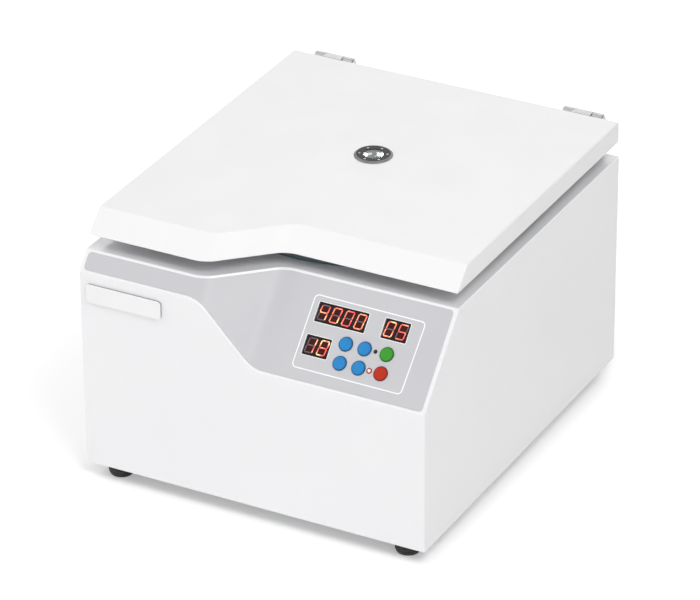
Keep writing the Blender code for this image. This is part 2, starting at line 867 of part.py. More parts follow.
def build_displays():
    for name, x, down, width in DISPLAYS:
        display = box(
            name,
            (x - width / 2, -down - DIGIT_HEIGHT / 2, -DISPLAY_SUNK - DIGIT_DEPTH),
            (x + width / 2, -down + DIGIT_HEIGHT / 2, -DISPLAY_SUNK),
            parent=slope,
        )
        finish(display, display_black)


def build_keys():
    """Round keys, each held behind the wall by its flange, with a stem to its switch."""
    flange_top = -WALL - GAP
    flange_low = flange_top - KEY_FLANGE_THICKNESS
    profile = [
        (0, KEY_PROUD + KEY_DOME),
        (KEY_RADIUS / 2, KEY_PROUD + KEY_DOME * 3 / 4),
        (KEY_RADIUS, KEY_PROUD),
        (KEY_RADIUS, flange_top),
        (KEY_FLANGE, flange_top),
        (KEY_FLANGE, flange_low),
        (KEY_STEM_RADIUS, flange_low),
        (KEY_STEM_RADIUS, -KEY_STEM_DEPTH),
        (0, -KEY_STEM_DEPTH),
    ]
    surfaces = [blue_key] * 4 + [green_key, red_key]
    for (name, x, down), surface in zip(KEYS, surfaces):
        finish(turned(name, profile, (x, -down, 0), ROUND_SIDES, slope), surface)


def build_lamps():
    for (name, x, down, radius), surface in zip(LAMPS, (dark_lamp, lit_lamp)):
        start = (x, -down, -LAMP_DEPTH)
        lamp = rod(name, start, (x, -down, LAMP_PROUD), radius, SMALL_SIDES, slope)
        finish(lamp, surface)


def build_control_board():
    """Board parallel to the slope, with a block under each display and a switch under each key."""
    front = -BOARD_DEPTH
    back = front - BOARD_THICKNESS
    board = box(
        "control_board",
        (body_half - BOARD_FROM_END - BOARD_WIDTH, -BOARD_BOTTOM, back),
        (body_half - BOARD_FROM_END, -BOARD_TOP, front),
        parent=slope,
    )
    rooted = front - BOARD_THICKNESS / 2
    for name, x, down, width in DISPLAYS:
        block = box(
            name + "_block",
            (x - width / 2 + BLOCK_INSET, -down - DIGIT_HEIGHT / 2 + BLOCK_INSET, rooted),
            (
                x + width / 2 - BLOCK_INSET,
                -down + DIGIT_HEIGHT / 2 - BLOCK_INSET,
                -DISPLAY_SUNK - DIGIT_DEPTH - GAP,
            ),
            parent=slope,
        )
        combine(board, block, "UNION")
    switch_top = -KEY_STEM_DEPTH - KEY_TRAVEL - GAP
    for name, x, down in KEYS:
        end = (x, -down, switch_top)
        switch = rod(name + "_switch", (x, -down, rooted), end, SWITCH_RADIUS, parent=slope)
        combine(board, switch, "UNION")
    for name, x, down, radius in LAMPS:
        start = (x, -down, rooted)
        lamp_base = rod(name + "_base", start, (x, -down, -LAMP_DEPTH - GAP), radius, parent=slope)
        combine(board, lamp_base, "UNION")
    finish(board, board_green)


def build_bowl():
    """Drawn steel bowl: its rim lies on the deck and its floor has an opening for the shaft."""
    outer = CHAMBER_RADIUS + BOWL_WALL
    floor_low = bowl_floor - BOWL_WALL
    rim_low = deck_z + GAP
    rim_top = rim_low + BOWL_WALL
    quarter = math.pi / 2
    centre = (CHAMBER_RADIUS - BOWL_FILLET, bowl_floor + BOWL_FILLET)
    inside = arc(centre, BOWL_FILLET, -quarter, 0, FILLET_STEPS)
    outside = arc(centre, BOWL_FILLET + BOWL_WALL, 0, -quarter, FILLET_STEPS)
    profile = [(SHAFT_OPENING, bowl_floor)]
    profile += inside
    profile += [(CHAMBER_RADIUS, rim_top), (outer + BOWL_RIM, rim_top), (outer + BOWL_RIM, rim_low)]
    profile += [(outer, rim_low)]
    profile += outside
    profile += [(SHAFT_OPENING, floor_low)]
    bowl = turned("chamber_bowl", profile, (0, chamber_y, 0), BOWL_SIDES, closed=True)
    finish(bowl, bright_steel)


def build_seal():
    """Rubber ring over the bowl's rim, which the lid's liner closes on."""
    rim_radius = CHAMBER_RADIUS + BOWL_WALL + BOWL_RIM + GAP
    over_rim = deck_z + GAP + BOWL_WALL + GAP
    top = liner_low - GAP
    profile = [
        (SEAL_INNER_RADIUS, over_rim),
        (SEAL_INNER_RADIUS, top - SEAL_ROUND),
        (SEAL_INNER_RADIUS + SEAL_ROUND, top),
        (SEAL_RADIUS - SEAL_ROUND, top),
        (SEAL_RADIUS, top - SEAL_ROUND),
        (SEAL_RADIUS, deck_z + GAP),
        (rim_radius, deck_z + GAP),
        (rim_radius, over_rim),
    ]
    seal = turned("chamber_seal", profile, (0, chamber_y, 0), BOWL_SIDES, closed=True)
    finish(seal, dark_rubber)


def build_drive():
    """Motor on a plate on three rubber mounts, its shaft up through the bowl's floor."""
    mount_low = base_top + GAP
    mount_top = mount_low + MOUNT_HEIGHT
    waist = (mount_low + mount_top) / 2
    profile = [
        (0, mount_top),
        (MOUNT_RADIUS, mount_top),
        (MOUNT_WAIST, waist),
        (MOUNT_RADIUS, mount_low),
        (0, mount_low),
    ]
    for side, turn in MOUNT_TURNS.items():
        place = (MOUNT_CIRCLE * math.cos(turn), chamber_y + MOUNT_CIRCLE * math.sin(turn), 0)
        finish(turned("vibration_mount_" + side, profile, place, SMALL_SIDES), black_rubber)

    plate_low = mount_top + GAP
    plate_top = plate_low + PLATE_THICKNESS
    bore = BEARING_RADIUS + GAP
    profile = [
        (bore, plate_low),
        (bore, plate_top),
        (PLATE_RADIUS, plate_top),
        (PLATE_RADIUS, plate_low),
    ]
    centre = (0, chamber_y, 0)
    finish(turned("motor_plate", profile, centre, ROUND_SIDES, closed=True), grey_steel)

    # The motor fills the height from its plate to the room under the bowl
    low = plate_top + GAP
    cap_top = bowl_floor - BOWL_WALL - FLOOR_ROOM
    cap_low = cap_top - CAP_THICKNESS
    top = cap_low - GAP
    inside = low + BEARING_WIDTH
    bore_inside = MOTOR_RADIUS - MOTOR_WALL
    profile = [
        (bore, low),
        (bore, inside),
        (bore_inside, inside),
        (bore_inside, top),
        (MOTOR_RADIUS, top),
        (MOTOR_RADIUS, low),
    ]
    finish(turned("motor_housing", profile, centre, ROUND_SIDES, closed=True), cast_metal)

    profile = [(bore, cap_low), (bore, cap_top), (MOTOR_RADIUS, cap_top), (MOTOR_RADIUS, cap_low)]
    finish(turned("motor_cap", profile, centre, ROUND_SIDES, closed=True), cast_metal)

    shaft_bore = SHAFT_RADIUS + GAP
    upper_low = cap_top - BEARING_WIDTH
    for name, bottom in (("lower_bearing", low), ("upper_bearing", upper_low)):
        profile = [
            (shaft_bore, bottom),
            (shaft_bore, bottom + BEARING_WIDTH),
            (BEARING_RADIUS, bottom + BEARING_WIDTH),
            (BEARING_RADIUS, bottom),
        ]
        finish(turned(name, profile, centre, SMALL_SIDES, closed=True), bright_steel)

    middle = (inside + upper_low) / 2
    half = (upper_low - inside) / 2 - STATOR_END_ROOM
    profile = [
        (ARMATURE_RADIUS + AIR_GAP, middle - half),
        (ARMATURE_RADIUS + AIR_GAP, middle + half),
        (bore_inside - GAP, middle + half),
        (bore_inside - GAP, middle - half),
    ]
    finish(turned("motor_stator", profile, centre, ROUND_SIDES, closed=True), copper)
    half = (upper_low - inside) / 2 - ARMATURE_END_ROOM
    profile = [
        (shaft_bore, middle - half),
        (shaft_bore, middle + half),
        (ARMATURE_RADIUS, middle + half),
        (ARMATURE_RADIUS, middle - half),
    ]
    armature = turned(
        "motor_armature", profile, (0, 0, -trunnion_z), ROUND_SIDES, rotor_axis, closed=True
    )
    finish(armature, grey_steel)

    thread_low = rotor_top + BOSS_HEIGHT - GAP
    thread_top = rotor_top + BOSS_HEIGHT + GAP + NUT_HEIGHT + THREAD_SHOWS
    profile = [
        (0, thread_top),
        (THREAD_RADIUS, thread_top),
        (THREAD_RADIUS, thread_low),
        (SHAFT_RADIUS, thread_low),
        (SHAFT_RADIUS, low),
        (0, low),
    ]
    shaft = turned("motor_shaft", profile, (0, 0, -trunnion_z), SMALL_SIDES, rotor_axis)
    finish(shaft, bright_steel)

    # The gaiter swells between the motor's cap and the bowl's floor, and its lip passes the opening
    foot = cap_top + GAP
    neck = SHAFT_OPENING - GAP
    under = bowl_floor - BOWL_WALL - GAP
    lip = bowl_floor + GAP + GAITER_LIP
    swell = SHAFT_OPENING + GAITER_SWELL
    profile = [
        (neck - GAITER_WALL, foot),
        (neck - GAITER_WALL, lip),
        (neck, lip),
        (neck, under),
        (swell, (foot + under) / 2),
        (neck, foot),
    ]
    finish(turned("shaft_gaiter", profile, centre, ROUND_SIDES, closed=True), black_rubber)


def bucket_frame(turn, name):
    """The pivot of one bucket: its local X points out from the rotor's axis and Y along its trunnions."""
    place = (TRUNNION_CIRCLE * math.cos(turn), TRUNNION_CIRCLE * math.sin(turn), 0)
    return pivot(name, place, (0, 0, turn), rotor_axis)


def build_rotor():
    """Cross-shaped head: four slots for the buckets, and seats for their trunnions."""
    top = rotor_top - trunnion_z
    low = top - ROTOR_THICKNESS
    hub_low = low - HUB_LENGTH
    bore = SHAFT_RADIUS + GAP
    profile = [
        (bore, hub_low),
        (bore, top + BOSS_HEIGHT),
        (BOSS_RADIUS, top + BOSS_HEIGHT),
        (BOSS_RADIUS, top),
        (ROTOR_RADIUS, top),
        (ROTOR_RADIUS, low),
        (HUB_RADIUS, low),
        (HUB_RADIUS, hub_low),
    ]
    rotor = turned("rotor", profile, (0, 0, 0), BOWL_SIDES, rotor_axis, closed=True)
    seat = TRUNNION_RADIUS + GAP
    seat_half = slot_half + TRUNNION_REACH + RUN
    seat_top = TRUNNION_DROP + OVERRUN
    for name, turn in BUCKETS:
        frame = bucket_frame(math.radians(turn), name + "_slot_frame")
        slot = box(
            name + "_slot",
            (arm_start - TRUNNION_CIRCLE, -slot_half, low - OVERRUN),
            (ROTOR_RADIUS, slot_half, top + OVERRUN),
            parent=frame,
        )
        combine(rotor, slot)
        outline = arc((0, 0), seat, math.pi, math.pi * 2, KNUCKLE_STEPS)
        outline += [(seat, seat_top), (-seat, seat_top)]
        place = (0, seat_half, 0)
        notch = outlined(
            name + "_seats", [outline], seat_half * 2, place, (math.pi / 2, 0, 0), parent=frame
        )
        combine(rotor, notch)
    finish(rotor, cast_metal)

    nut_low = top + BOSS_HEIGHT + GAP
    nut_top = nut_low + NUT_HEIGHT
    bore = THREAD_RADIUS + GAP
    chamfer = NUT_RADIUS - BOSS_HEIGHT / 2
    profile = [
        (bore, nut_low),
        (bore, nut_top),
        (chamfer, nut_top),
        (NUT_RADIUS, nut_top - BOSS_HEIGHT / 2),
        (NUT_RADIUS, nut_low),
    ]
    nut = turned("rotor_nut", profile, (0, 0, 0), ROUND_SIDES, rotor_axis, closed=True)
    finish(nut, bright_steel)


def build_buckets():
    inner = BUCKET_RADIUS - BUCKET_WALL
    floor_low = -BUCKET_BELOW
    floor_top = floor_low + BUCKET_FLOOR
    quarter = math.pi / 2
    inner_round = BUCKET_ROUND - BUCKET_WALL
    inside = arc((inner - inner_round, floor_top + inner_round), inner_round, -quarter, 0, FILLET_STEPS)
    outside = arc(
        (BUCKET_RADIUS - BUCKET_ROUND, floor_low + BUCKET_ROUND), BUCKET_ROUND, 0, -quarter, FILLET_STEPS
    )
    rim = BUCKET_RADIUS + BUCKET_RIM
    profile = [(0, floor_top)]
    profile += inside
    profile += [(inner, BUCKET_ABOVE), (rim, BUCKET_ABOVE), (rim, BUCKET_ABOVE - BUCKET_RIM_HEIGHT)]
    profile += [(BUCKET_RADIUS, BUCKET_ABOVE - BUCKET_RIM_HEIGHT - BUCKET_RIM)]
    profile += outside
    profile += [(0, floor_low)]
    start = BUCKET_RADIUS - BUCKET_WALL / 2
    end = slot_half + TRUNNION_REACH
    for name, turn in BUCKETS:
        frame = bucket_frame(math.radians(turn), name + "_pivot")
        bucket = turned(name, profile, (0, 0, 0), ROUND_SIDES, frame)
        for side, label in ((-1, "_near_trunnion"), (1, "_far_trunnion")):
            ends = [(0, side * reach, 0) for reach in (start, end)]
            trunnion = rod(name + label, *ends, TRUNNION_RADIUS, parent=frame)
            combine(bucket, trunnion, "UNION")
        finish(bucket, anodised)


def build_lid():
    """Shell with a leaning front that follows the deck's edge, and the liner plate in its mouth."""
    lid_zero = -Vector((0, hinge_y, hinge_z))
    far_front = front_y - OVERRUN
    plan = rectangle(lid_half, far_front, lid_back, LID_CORNER)
    shell = outlined("lid_shell", [plan], LID_THICKNESS, (0, 0, lid_low))
    low = lid_low - OVERRUN
    high = lid_top + OVERRUN
    reach = LONG_SETBACK
    combine(shell, front_waste("lid_front_waste", 0, lid_low, low, high, lid_lean, reach))
    inward = LID_WALL * math.hypot(1, lid_lean)
    hollow = box(
        "lid_hollow",
        (-lid_half + LID_WALL, far_front, lid_low - OVERRUN),
        (lid_half - LID_WALL, lid_back - LID_WALL, lid_top - LID_WALL),
    )
    combine(hollow, front_waste("lid_hollow_waste", inward, lid_low, low, high, lid_lean, reach))
    combine(shell, hollow)
    port = rod(
        "lid_port_hole",
        (0, chamber_y, lid_low - OVERRUN),
        (0, chamber_y, lid_top + OVERRUN),
        PORT_RADIUS,
        ROUND_SIDES,
    )
    combine(shell, port)

    half = lid_half - LID_WALL - GAP
    liner_back = lid_back - LID_WALL - GAP
    liner_top = liner_low + LINER_THICKNESS
    liner = box("lid_liner", (-half, far_front, liner_low), (half, liner_back, liner_top))
    waste = front_waste("liner_front_waste", inward + GAP, lid_low, low, high, lid_lean, reach)
    combine(liner, waste)
    combine(liner, port)

    for made, surface in ((shell, white_plastic), (liner, bright_steel)):
        made.parent = lid_pivot
        made.location = made.location + lid_zero
        for step in made.modifiers:
            follow_lid(step.object, lid_zero)
        finish(made, surface)


def follow_lid(cutter, shift):
    """Let a lid's cutter, and the cutters of that cutter, move with the lid."""
    if cutter.parent:
        return
    cutter.parent = lid_pivot
    cutter.location = cutter.location + shift
    for step in cutter.modifiers:
        follow_lid(step.object, shift)


def build_port():
    """Bezel that clamps the glass in the lid, its tube reaching down to the liner."""
    down = -hinge_z
    place = (0, chamber_y - hinge_y, down)
    seat = lid_top + GAP
    top = seat + PORT_FLANGE_HEIGHT
    tube = PORT_BORE + PORT_TUBE_WALL
    glass_low = top - GLASS_SUNK - GLASS_THICKNESS
    ledge = glass_low - GAP
    glass_radius = PORT_BORE + PORT_TUBE_WALL / 2
    room = glass_radius + GAP
    profile = [
        (PORT_BORE, liner_low),
        (PORT_BORE, ledge),
        (room, ledge),
        (room, top),
        (PORT_FLANGE_RADIUS - PORT_FLANGE_HEIGHT, top),
        (PORT_FLANGE_RADIUS, seat + PORT_FLANGE_HEIGHT / 4),
        (PORT_FLANGE_RADIUS, seat),
        (tube, seat),
        (tube, liner_low),
    ]
    bezel = turned("window_bezel", profile, place, ROUND_SIDES, lid_pivot, closed=True)
    finish(bezel, grey_steel)
    start = (0, chamber_y - hinge_y, glass_low + down)
    end = (0, chamber_y - hinge_y, glass_low + GLASS_THICKNESS + down)
    finish(rod("window_glass", start, end, glass_radius, ROUND_SIDES, lid_pivot), clear_glass)


def build_hinges():
    """Two hinges: a bracket with two knuckles at the rear, a leaf with one on the lid, and a pin."""
    bore = arc((0, 0), HINGE_PIN_RADIUS + GAP, 0, math.pi * 2, KNUCKLE_STEPS * 2)[:-1]
    # Outlines are in the YZ plane about the hinge's axis: X of the outline is Y, and Y is Z
    foot_front = back_y - REAR_INSET + GAP - hinge_y
    foot_back = foot_front + BRACKET_THICKNESS
    foot_top = -BRACKET_TOP_DROP
    foot_low = foot_top - BRACKET_HEIGHT
    round_top = arc((0, 0), KNUCKLE_RADIUS, ROUND_TOP_START, ROUND_TOP_END, KNUCKLE_STEPS)
    arm = [(foot_front, foot_top), (foot_front, foot_low), (foot_back, foot_low)] + round_top
    leaf_front = -KNUCKLE_RADIUS - LEAF_THICKNESS
    leaf_back = -KNUCKLE_RADIUS
    leaf_top = KNUCKLE_RADIUS - GAP
    leaf = arc((0, 0), KNUCKLE_RADIUS, -ROUND_BACK_END, ROUND_BACK_END, KNUCKLE_STEPS)
    leaf += [(leaf_back, leaf_top), (leaf_front, leaf_top)]
    leaf += [(leaf_front, -LEAF_DROP), (leaf_back, -LEAF_DROP)]
    turn = Matrix(((0, 0, 1), (1, 0, 0), (0, 1, 0))).to_euler()
    end = HINGE_LENGTH / 2
    middle = KNUCKLE_MIDDLE / 2 - GAP
    knuckle = end - KNUCKLE_MIDDLE / 2
    for side, label in ((-1, "left"), (1, "right")):
        x = side * hinge_x
        bracket = box(
            f"hinge_{label}_bracket",
            (x - end, foot_front, foot_low),
            (x + end, foot_back, foot_top),
        )
        bracket.location = bracket.location + Vector((0, hinge_y, hinge_z))
        for number, start in ((1, x - end), (2, x + end - knuckle)):
            place = (start, hinge_y, hinge_z)
            arm_piece = outlined(f"hinge_{label}_arm_{number}", [arm, bore], knuckle, place, turn)
            combine(bracket, arm_piece, "UNION")
        finish(bracket, hinge_steel)

        place = (x - middle, 0, 0)
        name = f"hinge_{label}_leaf"
        lid_leaf = outlined(name, [leaf, bore], middle * 2, place, turn, parent=lid_pivot)
        finish(lid_leaf, hinge_steel)

        pin = rod(
            f"hinge_{label}_pin",
            (x - end, hinge_y, hinge_z),
            (x + end + PIN_HEAD / 2, hinge_y, hinge_z),
            HINGE_PIN_RADIUS,
        )
        head_start = (x + end + GAP, hinge_y, hinge_z)
        head_end = (x + end + GAP + PIN_HEAD, hinge_y, hinge_z)
        combine(pin, rod(f"hinge_{label}_pin_head", head_start, head_end, PIN_HEAD_RADIUS), "UNION")
        finish(pin, hinge_steel)


def build_lock():
    """Hook on the liner, which hangs through a slot in the deck, and the bolt that crosses its eye."""
    slot_back = lock_y + SLOT_LENGTH / 2
    hook_back = slot_back - HOOK_BACK_ROOM
    hook_front = hook_back - HOOK_WIDTH
    foot_top = liner_low - GAP
    foot_low = foot_top - HOOK_FOOT
    hook_low = deck_z - HOOK_REACH
    eye_low = hook_low + EYE_RISE
    eye_middle = (hook_front + hook_back) / 2
    corner = HOOK_THICKNESS / 2
    blade = rounded(
        [(hook_front, hook_low), (hook_back, hook_low), (hook_back, foot_top), (hook_front, foot_top)],
        [corner, corner, 0, 0],
    )
    eye = rounded(
        [
            (eye_middle - EYE_SIZE / 2, eye_low),
            (eye_middle + EYE_SIZE / 2, eye_low),
            (eye_middle + EYE_SIZE / 2, eye_low + EYE_SIZE),
            (eye_middle - EYE_SIZE / 2, eye_low + EYE_SIZE),
        ],
        [corner] * 4,
    )
    turn = Matrix(((0, 0, 1), (1, 0, 0), (0, 1, 0))).to_euler()
    place = (lock_x - HOOK_THICKNESS / 2, -hinge_y, -hinge_z)
    hook = outlined("lid_hook", [blade, eye], HOOK_THICKNESS, place, turn, parent=lid_pivot)
    foot_half = HOOK_THICKNESS / 2 + HOOK_FOOT_MARGIN
    foot = box(
        "lid_hook_foot",
        (lock_x - foot_half, hook_front - HOOK_FOOT_MARGIN - hinge_y, foot_low - hinge_z),
        (lock_x + foot_half, hook_back + HOOK_FOOT_MARGIN - hinge_y, foot_top - hinge_z),
        parent=lid_pivot,
    )
    combine(hook, foot, "UNION")
    finish(hook, bright_steel)

    top = deck_z - WALL - GAP
    low = top - LOCK_DEPTH
    half_width = SLOT_WIDTH / 2 + LOCK_WALL
    half_length = SLOT_LENGTH / 2 + LOCK_WALL
    body = box(
        "lock_body",
        (lock_x - half_width, lock_y - half_length, low),
        (lock_x + half_width, lock_y + half_length, top),
    )
    channel = box(
        "lock_channel",
        (lock_x - SLOT_WIDTH / 2, lock_y - SLOT_LENGTH / 2, low + LOCK_WALL),
        (lock_x + SLOT_WIDTH / 2, lock_y + SLOT_LENGTH / 2, top + OVERRUN),
    )
    combine(body, channel)
    bolt_z = eye_low + EYE_SIZE / 2
    tip = lock_x - HOOK_THICKNESS / 2 - BOLT_STANDOFF
    body_left = lock_x - half_width
    tunnel = rod(
        "lock_tunnel",
        (body_left - OVERRUN, eye_middle, bolt_z),
        (lock_x, eye_middle, bolt_z),
        BOLT_RADIUS + RUN,
    )
    combine(body, tunnel)
    finish(body, grey_steel)

    coil_right = body_left - GAP
    coil_left = coil_right - SOLENOID_LENGTH
    coil_half = SOLENOID_SIZE / 2
    coil = box(
        "lock_solenoid",
        (coil_left, eye_middle - coil_half, bolt_z - coil_half),
        (coil_right, eye_middle + coil_half, bolt_z + coil_half),
    )
    bore = rod(
        "solenoid_bore",
        (coil_left - OVERRUN, eye_middle, bolt_z),
        (coil_right + OVERRUN, eye_middle, bolt_z),
        BOLT_RADIUS + RUN,
    )
    combine(coil, bore)
    finish(coil, copper)

    bolt_start = (tip - BOLT_LENGTH, eye_middle, bolt_z)
    bolt = rod("lock_bolt", bolt_start, (tip, eye_middle, bolt_z), BOLT_RADIUS)
    head_start = (tip - BOLT_LENGTH - BOLT_HEAD / 2, eye_middle, bolt_z)
    head_end = (tip - BOLT_LENGTH + BOLT_HEAD / 2, eye_middle, bolt_z)
    combine(bolt, rod("bolt_head", head_start, head_end, BOLT_HEAD_RADIUS), "UNION")
    finish(bolt, bright_steel)


def build_power_board():
    """Board on four posts beside the motor, with a finned heat sink and two capacitors."""
    low = base_top + GAP
    board_low = low + POWER_STANDOFF
    board_top = board_low + BOARD_THICKNESS
    near = front_y + POWER_FROM_FRONT
    far = near + POWER_LENGTH
    right = body_half - POWER_FROM_SIDE
    left = right - POWER_WIDTH
    rooted = board_top - BOARD_THICKNESS / 2
    board = box("power_board", (left, near, board_low), (right, far, board_top))
    for x, side in ((left + POWER_EDGE, "left"), (right - POWER_EDGE, "right")):
        for y, end in ((near + POWER_EDGE, "near"), (far - POWER_EDGE, "far")):
            name = f"power_post_{end}_{side}"
            post = rod(name, (x, y, low), (x, y, rooted), POST_RADIUS, POST_SIDES)
            combine(board, post, "UNION")
    sink_left = right - POWER_EDGE - SINK_WIDTH - POST_RADIUS
    sink_near = near + POWER_EDGE * 2
    sink = box(
        "power_sink",
        (sink_left, sink_near, rooted),
        (sink_left + SINK_WIDTH, sink_near + SINK_LENGTH, board_top + FIN_FLOOR),
    )
    combine(board, sink, "UNION")
    step = (SINK_WIDTH - FIN_WIDTH) / (FIN_COUNT - 1)
    for index in range(FIN_COUNT):
        fin_left = sink_left + index * step
        fin = box(
            f"power_fin_{index + 1}",
            (fin_left, sink_near, rooted),
            (fin_left + FIN_WIDTH, sink_near + SINK_LENGTH, board_top + SINK_HEIGHT),
        )
        combine(board, fin, "UNION")
    can_x = left + POWER_EDGE + POST_RADIUS + CAPACITOR_RADIUS
    for index in range(2):
        can_y = near + POWER_EDGE * 2 + CAPACITOR_RADIUS + index * CAPACITOR_RADIUS * 5 / 2
        can = rod(
            f"power_capacitor_{index + 1}",
            (can_x, can_y, rooted),
            (can_x, can_y, board_top + CAPACITOR_HEIGHT),
            CAPACITOR_RADIUS,
            ROUND_SIDES,
        )
        combine(board, can, "UNION")
    finish(board, board_green)


DISPLAYS = (
    ("speed_display", body_half - SPEED_FROM_END, TOP_ROW, SPEED_DISPLAY_WIDTH),
    ("time_display", body_half - TIME_FROM_END, TOP_ROW, PAIR_DISPLAY_WIDTH),
    ("rotor_display", body_half - ROTOR_FROM_END, DISPLAY_ROW, PAIR_DISPLAY_WIDTH),
)
KEYS = (
    ("key_set", body_half - KEY_LEFT_FROM_END, KEY_ROW_UPPER),
    ("key_plus", body_half - KEY_MIDDLE_FROM_END, KEY_ROW_UPPER),
    ("key_mode", body_half - KEY_LEFT_FROM_END, KEY_ROW_LOWER),
    ("key_minus", body_half - KEY_MIDDLE_FROM_END, KEY_ROW_LOWER),
    ("key_start", body_half - KEY_RIGHT_FROM_END, KEY_ROW_UPPER),
    ("key_stop", body_half - KEY_RIGHT_FROM_END, KEY_ROW_LOWER),
)
LAMPS = (
    ("run_lamp", body_half - LAMP_FROM_END, KEY_ROW_UPPER, RUN_LAMP_RADIUS),
    ("stop_lamp", body_half - LAMP_FROM_END, KEY_ROW_LOWER, STOP_LAMP_RADIUS),
)
BUCKETS = (("bucket_right", 0), ("bucket_rear", 90), ("bucket_left", 180), ("bucket_front", 270))

clear_scene()
parts = new_collection("centrifuge")
helpers = new_collection("cutters")
helpers.hide_render = True

white_paint = new_material("white_paint", (0.86, 0.86, 0.86), 0.35)
white_plastic = new_material("white_plastic", (0.88, 0.88, 0.88), 0.35)
badge_white = new_material("badge_white", (0.82, 0.82, 0.83), 0.3)
grey_film = new_material("grey_film", (0.62, 0.62, 0.64), 0.4)
grey_steel = new_material("grey_steel", (0.45, 0.45, 0.46), 0.45, 0.8)
hinge_steel = new_material("hinge_steel", (0.55, 0.55, 0.56), 0.35, 1.0)
bright_steel = new_material("bright_steel", (0.7, 0.7, 0.7), 0.25, 1.0)
cast_metal = new_material("cast_metal", (0.6, 0.6, 0.61), 0.4, 1.0)
anodised = new_material("anodised", (0.5, 0.52, 0.55), 0.35, 1.0)
copper = new_material("copper", (0.6, 0.3, 0.15), 0.4, 1.0)
black_rubber = new_material("black_rubber", (0.02, 0.02, 0.02), 0.8)
dark_rubber = new_material("dark_rubber", (0.04, 0.065, 0.075), 0.7)
black_plastic = new_material("black_plastic", (0.025, 0.025, 0.025), 0.45)
display_black = new_material("display_black", (0.02, 0.012, 0.012), 0.2)
board_green = new_material("board_green", (0.03, 0.2, 0.08), 0.5)
blue_key = new_material("blue_key", (0.03, 0.24, 0.67), 0.4)
green_key = new_material("green_key", (0.04, 0.37, 0.04), 0.4)
red_key = new_material("red_key", (0.67, 0.03, 0.02), 0.4)
dark_lamp = new_material("dark_lamp", (0.01, 0.01, 0.01), 0.3)
lit_lamp = new_material("lit_lamp", (0.95, 0.9, 0.9), 0.3)
clear_glass = new_material("clear_glass", (0.6, 0.65, 0.65), 0.05)

# The slope's own frame: X to the right, Y up the slope, Z out of it, from the deck's edge
slope = pivot("slope_frame", (0, front_y + LONG_SETBACK, deck_z), (math.pi / 2 - SLOPE_ANGLE, 0, 0))
lid_pivot = pivot("lid_pivot", (0, hinge_y, hinge_z))
rotor_axis = pivot("rotor_axis", (0, chamber_y, trunnion_z))
bpy.context.view_layer.update()

control_cutters = control_holes()
build_housing()
build_inlay()
build_badge()
build_base()
build_feet()
build_rear_panel()
build_inlet()
build_switch()
build_displays()
build_keys()
build_lamps()
build_control_board()
build_bowl()
build_seal()
build_drive()
build_rotor()
build_buckets()
build_lid()
build_port()
build_hinges()
build_lock()
build_power_board()
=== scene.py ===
# Bench centrifuge: the finishes and the fine shapes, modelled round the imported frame
import math

import bmesh
import bpy
import numpy as np
from mathutils import Matrix, Vector


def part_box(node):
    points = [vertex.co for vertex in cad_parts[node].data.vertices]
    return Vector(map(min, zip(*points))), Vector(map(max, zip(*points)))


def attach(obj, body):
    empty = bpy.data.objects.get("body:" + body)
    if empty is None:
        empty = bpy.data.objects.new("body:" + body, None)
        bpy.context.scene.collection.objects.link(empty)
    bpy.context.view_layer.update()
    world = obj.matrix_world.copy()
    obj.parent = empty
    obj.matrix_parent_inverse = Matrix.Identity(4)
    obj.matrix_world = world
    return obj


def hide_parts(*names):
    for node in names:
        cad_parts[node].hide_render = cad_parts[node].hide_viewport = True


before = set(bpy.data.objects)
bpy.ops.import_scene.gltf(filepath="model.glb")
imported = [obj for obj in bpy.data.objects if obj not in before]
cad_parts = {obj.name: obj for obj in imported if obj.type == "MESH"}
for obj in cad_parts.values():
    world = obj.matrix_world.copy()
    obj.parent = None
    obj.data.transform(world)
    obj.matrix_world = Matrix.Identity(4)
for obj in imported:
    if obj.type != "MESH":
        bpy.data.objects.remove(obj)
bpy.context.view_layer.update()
print("frame loaded with", len(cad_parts), "nodes")

# Places that the frame gives
housingLow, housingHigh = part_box("housing_shell")
lidLow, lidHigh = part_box("lid_shell")
bowlLow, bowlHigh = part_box("chamber_bowl")
rotorLow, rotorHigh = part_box("rotor")
halfWidth = housingHigh.x
frontY = housingLow.y
backY = housingHigh.y
lowZ = housingLow.z
deckZ = housingHigh.z
chamberY = (bowlLow.y + bowlHigh.y) / 2

# The front edge that the deck and the lid share
frontEdge = {
    "shortSetback": 0.015,
    "longSetback": 0.068,
    "slopeAngle": 41.67,      # degrees from upright
    "longSlopeWidth": 0.1785,
    "facetWidth": 0.0565,
    "bendRadius": 0.030,
    "bendRows": 14,
}
slopeLean = math.tan(math.radians(frontEdge["slopeAngle"]))
slopeStretch = math.hypot(1, slopeLean)
shortY = frontY + frontEdge["shortSetback"]
longY = frontY + frontEdge["longSetback"]
bendRight = halfWidth - frontEdge["longSlopeWidth"]
bendLeft = bendRight - frontEdge["facetWidth"]
bendTurn = math.atan2(longY - shortY, bendRight - bendLeft)
bendReach = frontEdge["bendRadius"] * math.tan(bendTurn / 2)
overrun = 0.003               # how far a cutter runs past what it cuts
clearance = 0.0003            # left between pieces that fit into each other
mergeReach = 2e-6
upsideDown = Matrix.Rotation(math.pi, 4, "X")


# Small tools for meshes

# Angles from start to end in radians, end included.
def smoothTurn(start, end, steps):
    return np.linspace(start, end, steps + 1)


# Four-sided faces of a grid of points numbered row by row. Each row is a ring, and the last row joins the
# first if asked.
def gridFaces(rows, columns, wrapRows):
    row = np.arange(rows if wrapRows else rows - 1)
    row, column = np.meshgrid(row, np.arange(columns), indexing="ij")
    nextRow = (row + 1) % rows
    nextColumn = (column + 1) % columns
    corners = [row * columns + column, row * columns + nextColumn,
               nextRow * columns + nextColumn, nextRow * columns + column]
    return np.stack(corners, axis=-1).reshape(-1, 4).tolist()


